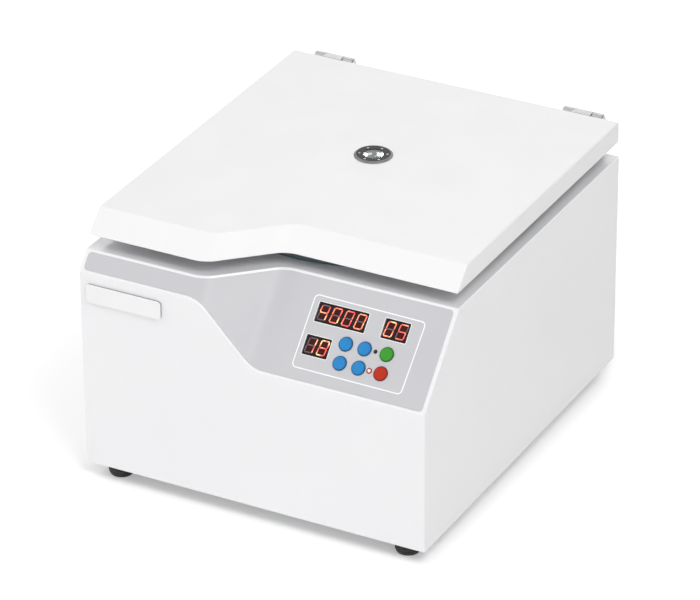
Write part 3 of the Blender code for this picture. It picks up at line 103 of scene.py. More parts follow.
# Closed surface through a stack of rings, an array of rings x points x 3, with flat ends.
def skin(rings, wrapRings=False, caps=True):
    rings = np.asarray(rings, float)
    count, points = rings.shape[:2]
    faces = gridFaces(count, points, wrapRings)
    if caps and not wrapRings:
        faces.append(list(range(points))[::-1])
        faces.append(list(range((count - 1) * points, count * points)))
    return rings.reshape(-1, 3), faces


# Profile of (radius, height) points carried round Z: x = r cos a, y = r sin a, z = height.
def turned(profile, sides, wrap=False):
    profile = np.asarray(profile, float)
    angle = np.linspace(0, 2 * np.pi, sides, endpoint=False)
    rings = np.empty((len(profile), sides, 3))
    rings[..., 0] = profile[:, :1] * np.cos(angle)
    rings[..., 1] = profile[:, :1] * np.sin(angle)
    rings[..., 2] = profile[:, 1:2]
    return skin(rings, wrapRings=wrap, caps=False)


# Loops with rounded corners. Corners are rows x corners x 2 and radii rows x corners; each corner
# becomes an arc: its centre plus the radius times a direction that swings from one side to the other.
def roundedLoops(corners, radii, steps):
    corners = np.asarray(corners, float)
    radii = np.broadcast_to(np.asarray(radii, float), corners.shape[:2])[..., None]
    back = np.roll(corners, 1, axis=1) - corners
    on = np.roll(corners, -1, axis=1) - corners
    back = back / np.linalg.norm(back, axis=-1, keepdims=True)
    on = on / np.linalg.norm(on, axis=-1, keepdims=True)
    half = np.arccos(np.clip((back * on).sum(-1, keepdims=True), -1, 1)) / 2
    middle = back + on
    middle = middle / np.maximum(np.linalg.norm(middle, axis=-1, keepdims=True), 1e-9)
    centre = corners + middle * radii / np.sin(half)
    reach = radii / np.tan(half)
    first = corners + back * reach - centre
    last = corners + on * reach - centre
    swing = np.pi - 2 * half
    share = np.linspace(0, 1, steps + 1)[None, None, :, None]
    swing = swing[:, :, None]
    weightA = np.sin((1 - share) * swing) / np.sin(swing)
    weightB = np.sin(share * swing) / np.sin(swing)
    arcs = centre[:, :, None] + first[:, :, None] * weightA + last[:, :, None] * weightB
    return arcs.reshape(corners.shape[0], -1, 2)


# The corners of a rectangle, anticlockwise.
def rectangleCorners(halfX, halfY, centre=(0, 0)):
    signs = np.array([(-1, -1), (1, -1), (1, 1), (-1, 1)], float)
    return signs * (halfX, halfY) + centre


# Moves each side of a convex, anticlockwise outline inwards and crosses it with the next.
def insetCorners(corners, distance):
    corners = np.asarray(corners, float)
    along = np.roll(corners, -1, axis=0) - corners
    along = along / np.linalg.norm(along, axis=-1, keepdims=True)
    inward = np.stack([-along[:, 1], along[:, 0]], axis=-1)
    before = np.roll(inward, 1, axis=0)
    scale = distance / (1 + (before * inward).sum(-1, keepdims=True))
    return corners + (before + inward) * scale


# Rounded outline carried up through (inset, height) levels, as a plate with shaped edges.
def slab(corners, radius, levels, steps=5):
    rings = []
    for inset, height in levels:
        rim = max(radius - inset, 1e-5)
        loop = roundedLoops(insetCorners(corners, inset)[None], rim, steps)[0]
        rings.append(np.column_stack([loop, np.full(len(loop), height)]))
    return skin(rings)


# Levels of a slab whose top and bottom edges are rounded by quarter circles.
def softEdge(low, high, edge):
    turn = smoothTurn(0, math.pi / 2, 3)
    up = [(edge * (1 - math.sin(t)), low + edge * (1 - math.cos(t))) for t in turn]
    down = [(edge * (1 - math.cos(t)), high - edge * (1 - math.sin(t))) for t in turn]
    return up + down


# Levels of a slab with a square foot and a rounded top edge.
def roundTop(low, high, edge):
    turn = smoothTurn(0, math.pi / 2, 4)
    return [(0, low)] + [(edge * (1 - math.cos(t)), high - edge * (1 - math.sin(t))) for t in turn]


# Box between two corners, with rounded edges.
def block(low, high, edge, radius):
    middle = [(a + b) / 2 for a, b in zip(low, high)]
    corners = rectangleCorners((high[0] - low[0]) / 2, (high[1] - low[1]) / 2, middle[:2])
    return slab(corners, max(radius, edge), softEdge(low[2], high[2], edge), 3)


# A shape moved by a 4 x 4 matrix.
def placed(shape, matrix):
    points, faces = shape
    matrix = np.array(matrix, float)
    return points @ matrix[:3, :3].T + matrix[:3, 3], faces


# Matrix whose X, Y and Z are the three directions given, standing at the origin given.
def axes(origin, right, up, out):
    columns = [Vector(right), Vector(up), Vector(out)]
    turn = Matrix([[c[i] for c in columns] for i in range(3)]).to_4x4()
    return Matrix.Translation(origin) @ turn


def at(x, y, z):
    return Matrix.Translation((x, y, z))


# One mesh from several shapes, with doubles merged and faces turned outwards.
def buildMesh(name, shapes):
    points = np.concatenate([shape[0] for shape in shapes])
    faces = []
    offset = 0
    for shapePoints, shapeFaces in shapes:
        faces += [[index + offset for index in face] for face in shapeFaces]
        offset += len(shapePoints)
    mesh = bpy.data.meshes.new(name)
    mesh.from_pydata(points.tolist(), [], faces)
    work = bmesh.new()
    work.from_mesh(mesh)
    bmesh.ops.remove_doubles(work, verts=work.verts, dist=mergeReach)
    bmesh.ops.dissolve_degenerate(work, edges=work.edges, dist=mergeReach)
    bmesh.ops.recalc_face_normals(work, faces=work.faces)
    work.to_mesh(mesh)
    work.free()
    return mesh


# The mesh with the cutters' shapes taken out of it.
def cut(mesh, cutters):
    target = bpy.data.objects.new("cutTarget", mesh)
    tool = bpy.data.objects.new("cutTool", buildMesh("cutTool", cutters))
    for made in (target, tool):
        bpy.context.scene.collection.objects.link(made)
    step = target.modifiers.new("cut", "BOOLEAN")
    step.operation = "DIFFERENCE"
    step.solver = "EXACT"
    step.object = tool
    graph = bpy.context.evaluated_depsgraph_get()
    result = bpy.data.meshes.new_from_object(target.evaluated_get(graph))
    bpy.data.objects.remove(target)
    bpy.data.objects.remove(tool)
    return result


# A finished piece of the object: its mesh, its finish, the body it rides and what it stands for.
def piece(name, shapes, material, body, replaces=(), smoothAngle=32):
    mesh = shapes if isinstance(shapes, bpy.types.Mesh) else buildMesh(name, shapes)
    mesh.name = name
    mesh.materials.clear()
    mesh.materials.append(material)
    mesh.polygons.foreach_set("material_index", [0] * len(mesh.polygons))
    mesh.shade_smooth()
    mesh.set_sharp_from_angle(angle=math.radians(smoothAngle))
    made = bpy.data.objects.new(name, mesh)
    bpy.context.scene.collection.objects.link(made)
    step = made.modifiers.new("flat faces stay flat", "WEIGHTED_NORMAL")
    step.keep_sharp = True
    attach(made, body)
    if replaces:
        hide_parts(*replaces)
    return made


# Small tools for materials

# sRGB hex to linear light: c / 12.92 below 0.04045, else ((c + 0.055) / 1.055) to the 2.4.
def linear(hexColour):
    values = [int(hexColour[i:i + 2], 16) / 255 for i in (1, 3, 5)]
    return tuple(v / 12.92 if v <= 0.04045 else ((v + 0.055) / 1.055) ** 2.4 for v in values) + (1.0,)


# Adds a node, sets its inputs or properties by name, and links its inputs.
def addNode(tree, kind, settings=None, links=None):
    node = tree.nodes.new("ShaderNode" + kind)
    for key, value in (settings or {}).items():
        if key in node.inputs.keys() or isinstance(key, int):
            node.inputs[key].default_value = value
        else:
            setattr(node, key, value)
    for key, socket in (links or {}).items():
        tree.links.new(socket, node.inputs[key])
    return node


# An empty material with its Principled shader set by socket name.
def newMaterial(name, **shaderValues):
    material = bpy.data.materials.new(name)
    material.use_nodes = True
    tree = material.node_tree
    shader = tree.nodes["Principled BSDF"]
    for key, value in shaderValues.items():
        shader.inputs[key.replace("_", " ")].default_value = value
    return material, tree, shader


# Noise scale whose features are this many millimetres wide on Object coordinates in metres.
def perMm(millimetres):
    return 1000 / millimetres


# Colour that goes from one hex to another with a factor socket.
def blendColours(tree, factor, low, high):
    mix = addNode(tree, "Mix", {"data_type": "RGBA", 6: linear(low), 7: linear(high)}, {0: factor})
    return mix.outputs[2]


# Links what drives a shader's colour, roughness and normal.
def dress(tree, shader, tint, rough, bump):
    for key, source in (("Base Color", tint), ("Roughness", rough), ("Normal", bump)):
        tree.links.new(source, shader.inputs[key])


# Lays a second colour over a material's own, as far as a factor socket says.
def overlay(material, factor, colour):
    tree = material.node_tree
    shader = tree.nodes["Principled BSDF"]
    own = shader.inputs["Base Color"].links[0].from_socket
    mix = addNode(tree, "Mix", {"data_type": "RGBA", 7: linear(colour)}, {0: factor, 6: own})
    tree.links.new(mix.outputs[2], shader.inputs["Base Color"])


# Paint, plastic or rubber: a broad drift of shade, a fine grain that shows as bump, and gloss that varies
# with a middling noise.
def mouldedSurface(name, settings):
    material, tree, shader = newMaterial(name, IOR=settings.get("ior", 1.5))
    place = addNode(tree, "TexCoord").outputs["Object"]
    drift = addNode(tree, "TexNoise", {"Scale": perMm(settings["driftMm"]), "Detail": 3}, {"Vector": place})
    tint = blendColours(tree, drift.outputs["Fac"], settings["shade"], settings["colour"])
    fleck = addNode(tree, "TexNoise", {"Scale": perMm(settings["grainMm"]), "Detail": 2}, {"Vector": place})
    spread = addNode(tree, "MapRange", {"From Min": 0.3, "From Max": 0.7, "To Min": settings["roughLow"],
                                        "To Max": settings["roughHigh"]})
    middling = addNode(tree, "TexNoise", {"Scale": perMm(settings["driftMm"] / 5), "Detail": 4},
                       {"Vector": place})
    tree.links.new(middling.outputs["Fac"], spread.inputs["Value"])
    bump = addNode(tree, "Bump", {"Strength": settings["bump"], "Distance": settings["depthMm"] / 1000},
                   {"Height": fleck.outputs["Fac"]})
    dress(tree, shader, tint, spread.outputs["Result"], bump.outputs["Normal"])
    for socket in ("Specular IOR Level", "Coat Weight", "Coat Roughness", "Sheen Weight"):
        if socket in settings:
            shader.inputs[socket].default_value = settings[socket]
    return material


# Metal with fine lines along one axis: noise squeezed across the lines drives gloss, bump and shade.
def brushedMetal(name, settings):
    material, tree, shader = newMaterial(name, Metallic=1.0)
    place = addNode(tree, "TexCoord").outputs["Object"]
    squeeze = addNode(tree, "Mapping", {"Scale": settings["squeeze"]}, {"Vector": place})
    line = addNode(tree, "TexNoise", {"Scale": perMm(settings["lineMm"]), "Detail": 3},
                   {"Vector": squeeze.outputs["Vector"]})
    broad = addNode(tree, "TexNoise", {"Scale": perMm(settings["driftMm"]), "Detail": 2}, {"Vector": place})
    both = addNode(tree, "Math", {"operation": "MULTIPLY_ADD", 1: 0.5},
                   {0: broad.outputs["Fac"], 2: line.outputs["Fac"]})
    spread = addNode(tree, "MapRange", {"From Min": 0.4, "From Max": 1.1})
    tree.links.new(both.outputs["Value"], spread.inputs["Value"])
    tint = blendColours(tree, spread.outputs["Result"], settings["shade"], settings["colour"])
    gloss = addNode(tree, "MapRange", {"From Min": 0.3, "From Max": 0.7, "To Min": settings["roughLow"],
                                       "To Max": settings["roughHigh"]}, {"Value": line.outputs["Fac"]})
    bump = addNode(tree, "Bump", {"Strength": settings["bump"], "Distance": 0.00002},
                   {"Height": line.outputs["Fac"]})
    dress(tree, shader, tint, gloss.outputs["Result"], bump.outputs["Normal"])
    return material


# Metal cut on a lathe: rings whose spacing is the tool's feed, drawn from the distance to the spindle.
def lathedMetal(name, settings):
    material, tree, shader = newMaterial(name, Metallic=1.0)
    place = addNode(tree, "TexCoord").outputs["Object"]
    centred = addNode(tree, "Mapping", {"Location": settings["centre"], "Scale": (1, 1, settings["rise"])},
                      {"Vector": place})
    rings = addNode(tree, "TexWave", {"wave_type": "RINGS", "rings_direction": "SPHERICAL",
                                      "Scale": perMm(settings["feedMm"]) / 20, "Distortion": 1.2,
                                      "Detail": 2, "Detail Scale": 3}, {"Vector": centred.outputs["Vector"]})
    broad = addNode(tree, "TexNoise", {"Scale": perMm(settings["driftMm"]), "Detail": 3}, {"Vector": place})
    tint = blendColours(tree, broad.outputs["Fac"], settings["shade"], settings["colour"])
    gloss = addNode(tree, "MapRange", {"To Min": settings["roughLow"], "To Max": settings["roughHigh"]},
                    {"Value": rings.outputs["Fac"]})
    bump = addNode(tree, "Bump", {"Strength": settings["bump"], "Distance": 0.00003},
                   {"Height": rings.outputs["Fac"]})
    dress(tree, shader, tint, gloss.outputs["Result"], bump.outputs["Normal"])
    return material


# Finishes

# Polyurethane enamel sprayed on steel: satin gloss with a faint orange peel, cells about 1.8 mm
enamel = mouldedSurface("sprayed_white_enamel", {
    "colour": "#eeeeef", "shade": "#e9e9eb", "driftMm": 130, "grainMm": 1.8, "roughLow": 0.30,
    "roughHigh": 0.38, "bump": 0.06, "depthMm": 0.05, "Coat Weight": 0.4, "Coat Roughness": 0.12,
})


# Painted shade on the deck: its flat top inside the rounded rim is coloured light grey to stand in for the
# shade under the lid, by a mask that rises just under the deck's height.
def deckPaintedShade(material, settings):
    tree = material.node_tree
    place = addNode(tree, "TexCoord").outputs["Object"]
    height = addNode(tree, "SeparateXYZ", {}, {"Vector": place}).outputs["Z"]
    mask = addNode(tree, "MapRange", {"From Min": deckZ - settings["rim"],
                                      "From Max": deckZ - settings["rim"] * 0.5}, {"Value": height})
    overlay(material, mask.outputs["Result"], settings["colour"])


# Painted shade: the casing's enamel turns light grey on the flat deck
deckPaintedShade(enamel, {"colour": "#dadadc", "rim": 0.00025})
# ABS lid, injection moulded with a fine matt grain of 0.8 mm, coarser than the real 0.2 mm so that it shows
lidPlastic = mouldedSurface("moulded_white_abs", {
    "colour": "#f1f0f0", "shade": "#eeeded", "driftMm": 160, "grainMm": 0.8, "roughLow": 0.46,
    "roughHigh": 0.54, "bump": 0.05, "depthMm": 0.04, "ior": 1.52,
})
# Polyester overlay film, printed silver grey on its back: a soft satin with a very fine grit
greyFilm = mouldedSurface("grey_polyester_film", {
    "colour": "#c8c8cb", "shade": "#c2c2c6", "driftMm": 60, "grainMm": 0.5, "roughLow": 0.32,
    "roughHigh": 0.42, "bump": 0.05, "depthMm": 0.02,
})
whiteInk = mouldedSurface("screen_printed_white_ink", {
    "colour": "#fbfbfb", "shade": "#f4f4f4", "driftMm": 20, "grainMm": 0.4, "roughLow": 0.35,
    "roughHigh": 0.5, "bump": 0.05, "depthMm": 0.01,
})
# Name plate: acrylic face, gloss under a thin lacquer, on a dark grey sheet that shows at its edge as a
# painted shadow line
badgeFinish = mouldedSurface("bare_acrylic_nameplate", {
    "colour": "#efefef", "shade": "#ececed", "driftMm": 60, "grainMm": 0.4, "roughLow": 0.30,
    "roughHigh": 0.38, "bump": 0.04, "depthMm": 0.02, "Coat Weight": 0.2, "Coat Roughness": 0.15,
})
badgeShadowSheet = mouldedSurface("painted_shadow_sheet", {
    "colour": "#8d8d90", "shade": "#7a7a7d", "driftMm": 12, "grainMm": 0.5, "roughLow": 0.7,
    "roughHigh": 0.9, "bump": 0.2, "depthMm": 0.03,
})
# Powder coat on the steel plates: a pebbled skin, cells about 0.9 mm
powderCoat = mouldedSurface("grey_powder_coat", {
    "colour": "#b4b5b8", "shade": "#a8a9ad", "driftMm": 50, "grainMm": 0.9, "roughLow": 0.42,
    "roughHigh": 0.58, "bump": 0.25, "depthMm": 0.08,
})
footRubber = mouldedSurface("moulded_black_rubber", {
    "colour": "#262626", "shade": "#191919", "driftMm": 9, "grainMm": 0.7, "roughLow": 0.62,
    "roughHigh": 0.85, "bump": 0.3, "depthMm": 0.06, "Sheen Weight": 0.1,
})
sealRubber = mouldedSurface("extruded_silicone_seal", {
    "colour": "#44565b", "shade": "#36474c", "driftMm": 14, "grainMm": 0.9, "roughLow": 0.48,
    "roughHigh": 0.66, "bump": 0.2, "depthMm": 0.05,
})
blackPlastic = mouldedSurface("moulded_black_nylon", {
    "colour": "#232425", "shade": "#18191a", "driftMm": 12, "grainMm": 0.5, "roughLow": 0.38,
    "roughHigh": 0.52, "bump": 0.18, "depthMm": 0.04,
})
blackAnodised = mouldedSurface("black_anodised_ring", {
    "colour": "#1f2022", "shade": "#111213", "driftMm": 3, "grainMm": 0.4, "roughLow": 0.45,
    "roughHigh": 0.65, "bump": 0.2, "depthMm": 0.03, "Specular IOR Level": 0.3,
})
boardMask = mouldedSurface("green_solder_mask", {
    "colour": "#1f6b3c", "shade": "#134d29", "driftMm": 6, "grainMm": 0.8, "roughLow": 0.3,
    "roughHigh": 0.45, "bump": 0.3, "depthMm": 0.06,
})
displayFace = mouldedSurface("dark_epoxy_display", {
    "colour": "#241012", "shade": "#17090b", "driftMm": 9, "grainMm": 0.6, "roughLow": 0.3,
    "roughHigh": 0.42, "bump": 0.05, "depthMm": 0.02, "Specular IOR Level": 0.2,
})
hingeSteel = brushedMetal("brushed_steel_hinge", {
    "colour": "#b6b7b8", "shade": "#a0a1a3", "squeeze": (0.04, 1, 1), "lineMm": 0.35, "driftMm": 12,
    "roughLow": 0.42, "roughHigh": 0.56, "bump": 0.2,
})
# Powder coat on the plate under the lid, white: pebbles of 0.9 mm and a soft gloss
linerCoat = mouldedSurface("white_powder_coat", {
    "colour": "#ececed", "shade": "#e6e6e8", "driftMm": 80, "grainMm": 0.9, "roughLow": 0.40,
    "roughHigh": 0.52, "bump": 0.15, "depthMm": 0.06,
})
zincSteel = brushedMetal("zinc_plated_steel", {
    "colour": "#cfd1d3", "shade": "#a3a6aa", "squeeze": (1, 1, 1), "lineMm": 1.4, "driftMm": 5,
    "roughLow": 0.24, "roughHigh": 0.42, "bump": 0.15,
})
bezelMetal = brushedMetal("satin_nickel_bezel", {
    "colour": "#828386", "shade": "#646669", "squeeze": (1, 1, 1), "lineMm": 0.7, "driftMm": 8,
    "roughLow": 0.38, "roughHigh": 0.5, "bump": 0.15,
})
castAluminium = brushedMetal("sand_cast_aluminium", {
    "colour": "#c4c5c7", "shade": "#9c9ea2", "squeeze": (1, 1, 1), "lineMm": 1.1, "driftMm": 16,
    "roughLow": 0.42, "roughHigh": 0.6, "bump": 0.6,
})
copperWire = brushedMetal("enamelled_copper_wire", {
    "colour": "#c9783e", "shade": "#8d4520", "squeeze": (0.05, 0.05, 1), "lineMm": 0.9, "driftMm": 9,
    "roughLow": 0.25, "roughHigh": 0.4, "bump": 0.8,
})
bowlSteel = lathedMetal("spun_stainless_bowl", {
    "colour": "#d3d4d6", "shade": "#b9bbbe", "centre": (0, -chamberY, -deckZ), "rise": 1.0, "feedMm": 1.6,
    "driftMm": 70, "roughLow": 0.26, "roughHigh": 0.34, "bump": 0.04,
})
rotorMetal = lathedMetal("turned_aluminium_rotor", {
    "colour": "#cdced1", "shade": "#b2b4b8", "centre": (0, -chamberY, -rotorHigh.z), "rise": 0.3,
    "feedMm": 0.9, "driftMm": 30, "roughLow": 0.24, "roughHigh": 0.38, "bump": 0.2,
})
bucketMetal = brushedMetal("clear_anodised_bucket", {
    "colour": "#c3c7cc", "shade": "#a8adb3", "squeeze": (0.08, 0.08, 1), "lineMm": 0.7, "driftMm": 20,
    "roughLow": 0.3, "roughHigh": 0.44, "bump": 0.2,
})


# Silicone rubber key, moulded in its colour: satin, with painted shade, a darker colour towards its edge,
# where "rim" rises from 0 to 1
def siliconeKey(name, colour, shade, rim):
    material = mouldedSurface(name, {
        "colour": colour, "shade": shade, "driftMm": 6, "grainMm": 0.4, "roughLow": 0.42, "roughHigh": 0.55,
        "bump": 0.1, "depthMm": 0.02, "Specular IOR Level": 0.25,
    })
    # Painted shade: the colour given as rim darkens the key towards its edge
    worn = addNode(material.node_tree, "Attribute", {"attribute_name": "rim"})
    overlay(material, worn.outputs["Fac"], rim)
    return material


# The third colour of each key is its painted edge shade
blueKey = siliconeKey("blue_silicone_key", "#2b88c8", "#227ebc", "#185a8f")
greenKey = siliconeKey("green_silicone_key", "#3c9a2c", "#348f26", "#246a22")
redKey = siliconeKey("red_silicone_key", "#b92f12", "#b0270b", "#851b10")


# Glowing diffuser of a digit: red, drawn towards orange and pale yellow where the die sits behind it.
def litSegments():
    material, tree, shader = newMaterial("lit_red_segment", Roughness=0.4)
    place = addNode(tree, "TexCoord").outputs["Object"]
    hot = addNode(tree, "TexNoise", {"Scale": perMm(7), "Detail": 1}, {"Vector": place})
    ramp = addNode(tree, "ValToRGB", {}, {"Fac": hot.outputs["Fac"]})
    ramp.color_ramp.elements[0].position = 0.38
    ramp.color_ramp.elements[0].color = linear("#dc4f4c")
    ramp.color_ramp.elements[1].position = 0.66
    ramp.color_ramp.elements[1].color = linear("#ffd694")
    middle = ramp.color_ramp.elements.new(0.53)
    middle.color = linear("#f58365")
    tree.links.new(ramp.outputs["Color"], shader.inputs["Emission Color"])
    tree.links.new(ramp.outputs["Color"], shader.inputs["Base Color"])
    shader.inputs["Emission Strength"].default_value = 0.75
    return material


litRed = litSegments()
# Painted light: the red cast of the lit strokes on the dark face between them
paintedSegmentGlow = mouldedSurface("painted_segment_glow", {
    "colour": "#45110f", "shade": "#2c0a0a", "driftMm": 5, "grainMm": 0.5, "roughLow": 0.35,
    "roughHigh": 0.5, "bump": 0.05, "depthMm": 0.01, "Specular IOR Level": 0.15,
})
dimSegment = mouldedSurface("unlit_segment", {
    "colour": "#75686d", "shade": "#4f3d43", "driftMm": 8, "grainMm": 0.5, "roughLow": 0.35,
    "roughHigh": 0.5, "bump": 0.05, "depthMm": 0.01,
})


# Toughened glass, polished: a faint grey-green body and a sharp reflection.
def clearGlass():
    material, tree, shader = newMaterial("toughened_glass", Roughness=0.03, IOR=1.52)
    place = addNode(tree, "TexCoord").outputs["Object"]
    film = addNode(tree, "TexNoise", {"Scale": perMm(5), "Detail": 3}, {"Vector": place})
    smear = addNode(tree, "MapRange", {"To Min": 0.01, "To Max": 0.07}, {"Value": film.outputs["Fac"]})
    tree.links.new(smear.outputs["Result"], shader.inputs["Roughness"])
    shader.inputs["Base Color"].default_value = linear("#e6efec")
    shader.inputs["Transmission Weight"].default_value = 0.9
    return material


windowGlass = clearGlass()
lampLens = mouldedSurface("lit_lamp_lens", {
    "colour": "#fffafa", "shade": "#fff2f0", "driftMm": 3, "grainMm": 0.5, "roughLow": 0.2,
    "roughHigh": 0.3, "bump": 0.02, "depthMm": 0.01,
})
darkLens = mouldedSurface("unlit_lamp_lens", {
    "colour": "#101113", "shade": "#08090a", "driftMm": 3, "grainMm": 0.5, "roughLow": 0.15,
    "roughHigh": 0.25, "bump": 0.02, "depthMm": 0.01,
})
print("finishes made")


# Shared front shapes

# The deck's front edge: y for each x. Two straight stretches and a slanted one, joined by arcs.
def edgeLine(x):
    x = np.asarray(x, float)
    radius = frontEdge["bendRadius"]
    y = np.interp(x, [bendLeft, bendRight], [shortY, longY])
    near = (x > bendLeft - bendReach) & (x < bendLeft + bendReach * math.cos(bendTurn))
    far = (x > bendRight - bendReach * math.cos(bendTurn)) & (x < bendRight + bendReach)
    nearArc = shortY + radius - np.sqrt(np.maximum(radius ** 2 - (x - bendLeft + bendReach) ** 2, 0))
    farArc = longY - radius + np.sqrt(np.maximum(radius ** 2 - (x - bendRight - bendReach) ** 2, 0))
    return np.where(near, nearArc, np.where(far, farArc, y))


# Places along X, close together in the bends and the rounded ends, and the inset of the rounding at each:
# x = half - edge + edge sin t, inset = edge (1 - cos t).
def endRows(half, edge, steps=5):
    bend = frontEdge["bendRadius"] * np.sin(smoothTurn(0, bendTurn, frontEdge["bendRows"]))
    inner = np.concatenate([bendLeft - bendReach + bend, bendRight + bendReach - bend[::-1]])
    turn = smoothTurn(0, math.pi / 2, steps)
    ends = half - edge + edge * np.sin(turn)
    rise = edge * (1 - np.cos(turn))
    x = np.concatenate([-ends[::-1], inner, ends])
    return x, np.concatenate([rise[::-1], np.zeros(len(inner)), rise])


# Solid carried along X: each section is a loop of (y, z) corners whose rounding shrinks towards the ends.
def lengthwise(x, corners, radii, shrink, steps=5):
    corners = np.stack([np.stack(np.broadcast_arrays(y, z, x)[:2], -1) for y, z in corners], axis=1)
    loops = roundedLoops(corners, np.array(radii)[None] * np.maximum(shrink, 0.02)[:, None], steps)
    rings = np.empty(loops.shape[:2] + (3,))
    rings[..., 0] = x[:, None]
    rings[..., 1:] = loops
    return skin(rings)


# The slope's y at a height, moved into the casing by an inset.
def slopeAt(x, inset, z):
    return edgeLine(x) + inset * slopeStretch - slopeLean * (deckZ - z)


# Height at which the slope meets the front.
def creaseAt(x):
    return deckZ - (edgeLine(x) - frontY) / slopeLean


# The casing's form or, with a wall, its hollow. Front y = F + d, slope y = L(x) + d s - (D - z) tan a,
# deck z = D - d, back y = B - d, with d the wall and the rounding of the ends together.
def housingForm(wall, back, low, edge, radii):
    x, ends = endRows(halfWidth - wall, edge)
    front = frontY + wall + ends
    deck = deckZ - wall - ends
    slope = edgeLine(x) + (wall + ends) * slopeStretch
    corners = [
        (front, low),
        (front, deckZ - (slope - front) / slopeLean),
        (slope - slopeLean * (deckZ - deck), deck),
        (back - ends, deck),
        (back - ends, low),
    ]
    return lengthwise(x, corners, radii, 1 - ends / edge)


# The strip that follows the slope between two heights: its face at one depth and its back at another.
def inlayForm(half, margin, outer, inner, corner, radii):
    x, ends = endRows(half, corner)
    low = creaseAt(x) + inlay["bottomMargin"] - margin + ends
    high = deckZ - inlay["topMargin"] + margin - ends
    corners = [
        (slopeAt(x, outer, low), low),
        (slopeAt(x, outer, high), high),
        (slopeAt(x, inner, high), high),
        (slopeAt(x, inner, low), low),
    ]
    return lengthwise(x, corners, radii, np.ones_like(x), steps=2)


# A shape drawn flat, laid on the long slope: x from the middle, down from the deck's edge.
def onSlope(shape, x=0, down=0):
    return placed(shape, slopeFrame @ at(x, -down, 0))


# Closed band of a rounded outline: its outer and inner edges, each as a lower and an upper loop.
def ribbon(corners, radius, width, low, high, steps=6):
    rings = []
    for inset, height in ((0, low), (0, high), (width, high), (width, low)):
        loop = roundedLoops(insetCorners(corners, inset)[None], max(radius - inset, 1e-5), steps)[0]
        rings.append(np.column_stack([loop, np.full(len(loop), height)]))
    return skin(rings, wrapRings=True)


# Any outline carried straight up between two heights.
def extruded(outline, low, high):
    outline = np.asarray(outline, float)
    return skin([np.column_stack([outline, np.full(len(outline), z)]) for z in (low, high)])


# Round plug.
def disc(radius, low, high, sides=64):
    return solidOf([(radius, low), (radius, high)], sides)


# Turned solid closed with a flat cap at both ends of its profile.
def solidOf(profile, sides):
    points, faces = turned(profile, sides)
    count = len(profile)
    faces.append(list(range(sides))[::-1])
    faces.append(list(range((count - 1) * sides, count * sides)))
    return points, faces


# Points of an arc, start and end in degrees.
def arcPoints(centre, radius, start, end, steps):
    angle = np.radians(np.linspace(start, end, steps + 1))
    return [(centre[0] + radius * math.cos(a), centre[1] + radius * math.sin(a)) for a in angle]


# A mesh as points and faces, so that it can be placed again.
def asShape(mesh):
    points = np.empty(len(mesh.vertices) * 3)
    mesh.vertices.foreach_get("co", points)
    return points.reshape(-1, 3), [list(face.vertices) for face in mesh.polygons]


slopeFrame = axes((0, longY, deckZ), (1, 0, 0), (0, slopeLean / slopeStretch, 1 / slopeStretch),
                  (0, -1 / slopeStretch, slopeLean / slopeStretch))


# Controls and displays: places in metres, x from the middle and down from the deck's edge
controls = {
    "displays": {              # place across and down, width, digits shown
        "speed_display": (0.0713, 0.0337, 0.0508, "4000"),
        "time_display": (0.1268, 0.0337, 0.0251, "05"),
        "rotor_display": (0.0566, 0.0658, 0.0251, "18"),
    },
    "displayHeight": 0.0184,
    "displaySunk": 0.0009,
    "displayDepth": 0.008,
    "displayCorner": 0.0004,
    "displayEdge": 0.0003,
    "keys": {                  # place across and down, finish, material slot
        "key_set": (0.0837, 0.0569, blueKey, "blue_key"),
        "key_plus": (0.1030, 0.0569, blueKey, "blue_key"),
        "key_mode": (0.0837, 0.0754, blueKey, "blue_key"),
        "key_minus": (0.1030, 0.0754, blueKey, "blue_key"),
        "key_start": (0.1257, 0.0569, greenKey, "green_key"),
        "key_stop": (0.1257, 0.0754, redKey, "red_key"),
    },
    "keyRadius": 0.0068,
    "lamps": {"run_lamp": (0.114, 0.0569, 0.0017), "stop_lamp": (0.114, 0.0754, 0.0025)},
    "gap": 0.0004,             # round a display
    "windowCorner": 0.0008,
    "holeDepth": 0.006,
}


# Cutters for the windows, keys and lamps, through the casing's wall along the slope's normal.
def controlHoles():
    holes = []
    low = -controls["holeDepth"]
    for x, down, width, _ in controls["displays"].values():
        corners = rectangleCorners(width / 2 + controls["gap"],
                                   controls["displayHeight"] / 2 + controls["gap"])
        holes.append(onSlope(slab(corners, controls["windowCorner"], [(0, low), (0, overrun)]), x, down))
    for x, down, _, _ in controls["keys"].values():
        holes.append(onSlope(disc(controls["keyRadius"] + clearance, low, overrun), x, down))
    for x, down, radius in controls["lamps"].values():
        holes.append(onSlope(disc(radius + clearance, low, overrun, 32), x, down))
    return holes


# Casing
housing = {
    "wall": 0.003, "edge": 0.0016, "radii": (0.0006, 0.0018, 0.0012, 0.0014, 0.0006),
    "hollowEdge": 0.0015, "hollowRadii": (0.0005, 0.002, 0.0015, 0.0005, 0.0005),
    "chamberHole": 0.1467, "lockSlot": ((-0.123, -0.1515), (-0.107, -0.1215)), "slotEdge": 0.0004,
    "slotCorner": 0.0016, "cutDepth": 0.006,
}
inlay = {
    "half": 0.176, "topMargin": 0.0021, "bottomMargin": 0.0014, "corner": 0.0035, "sunk": 0.0003,
    "thickness": 0.001, "gap": 0.0001, "radii": (0.0002, 0.0002, 0, 0),
}

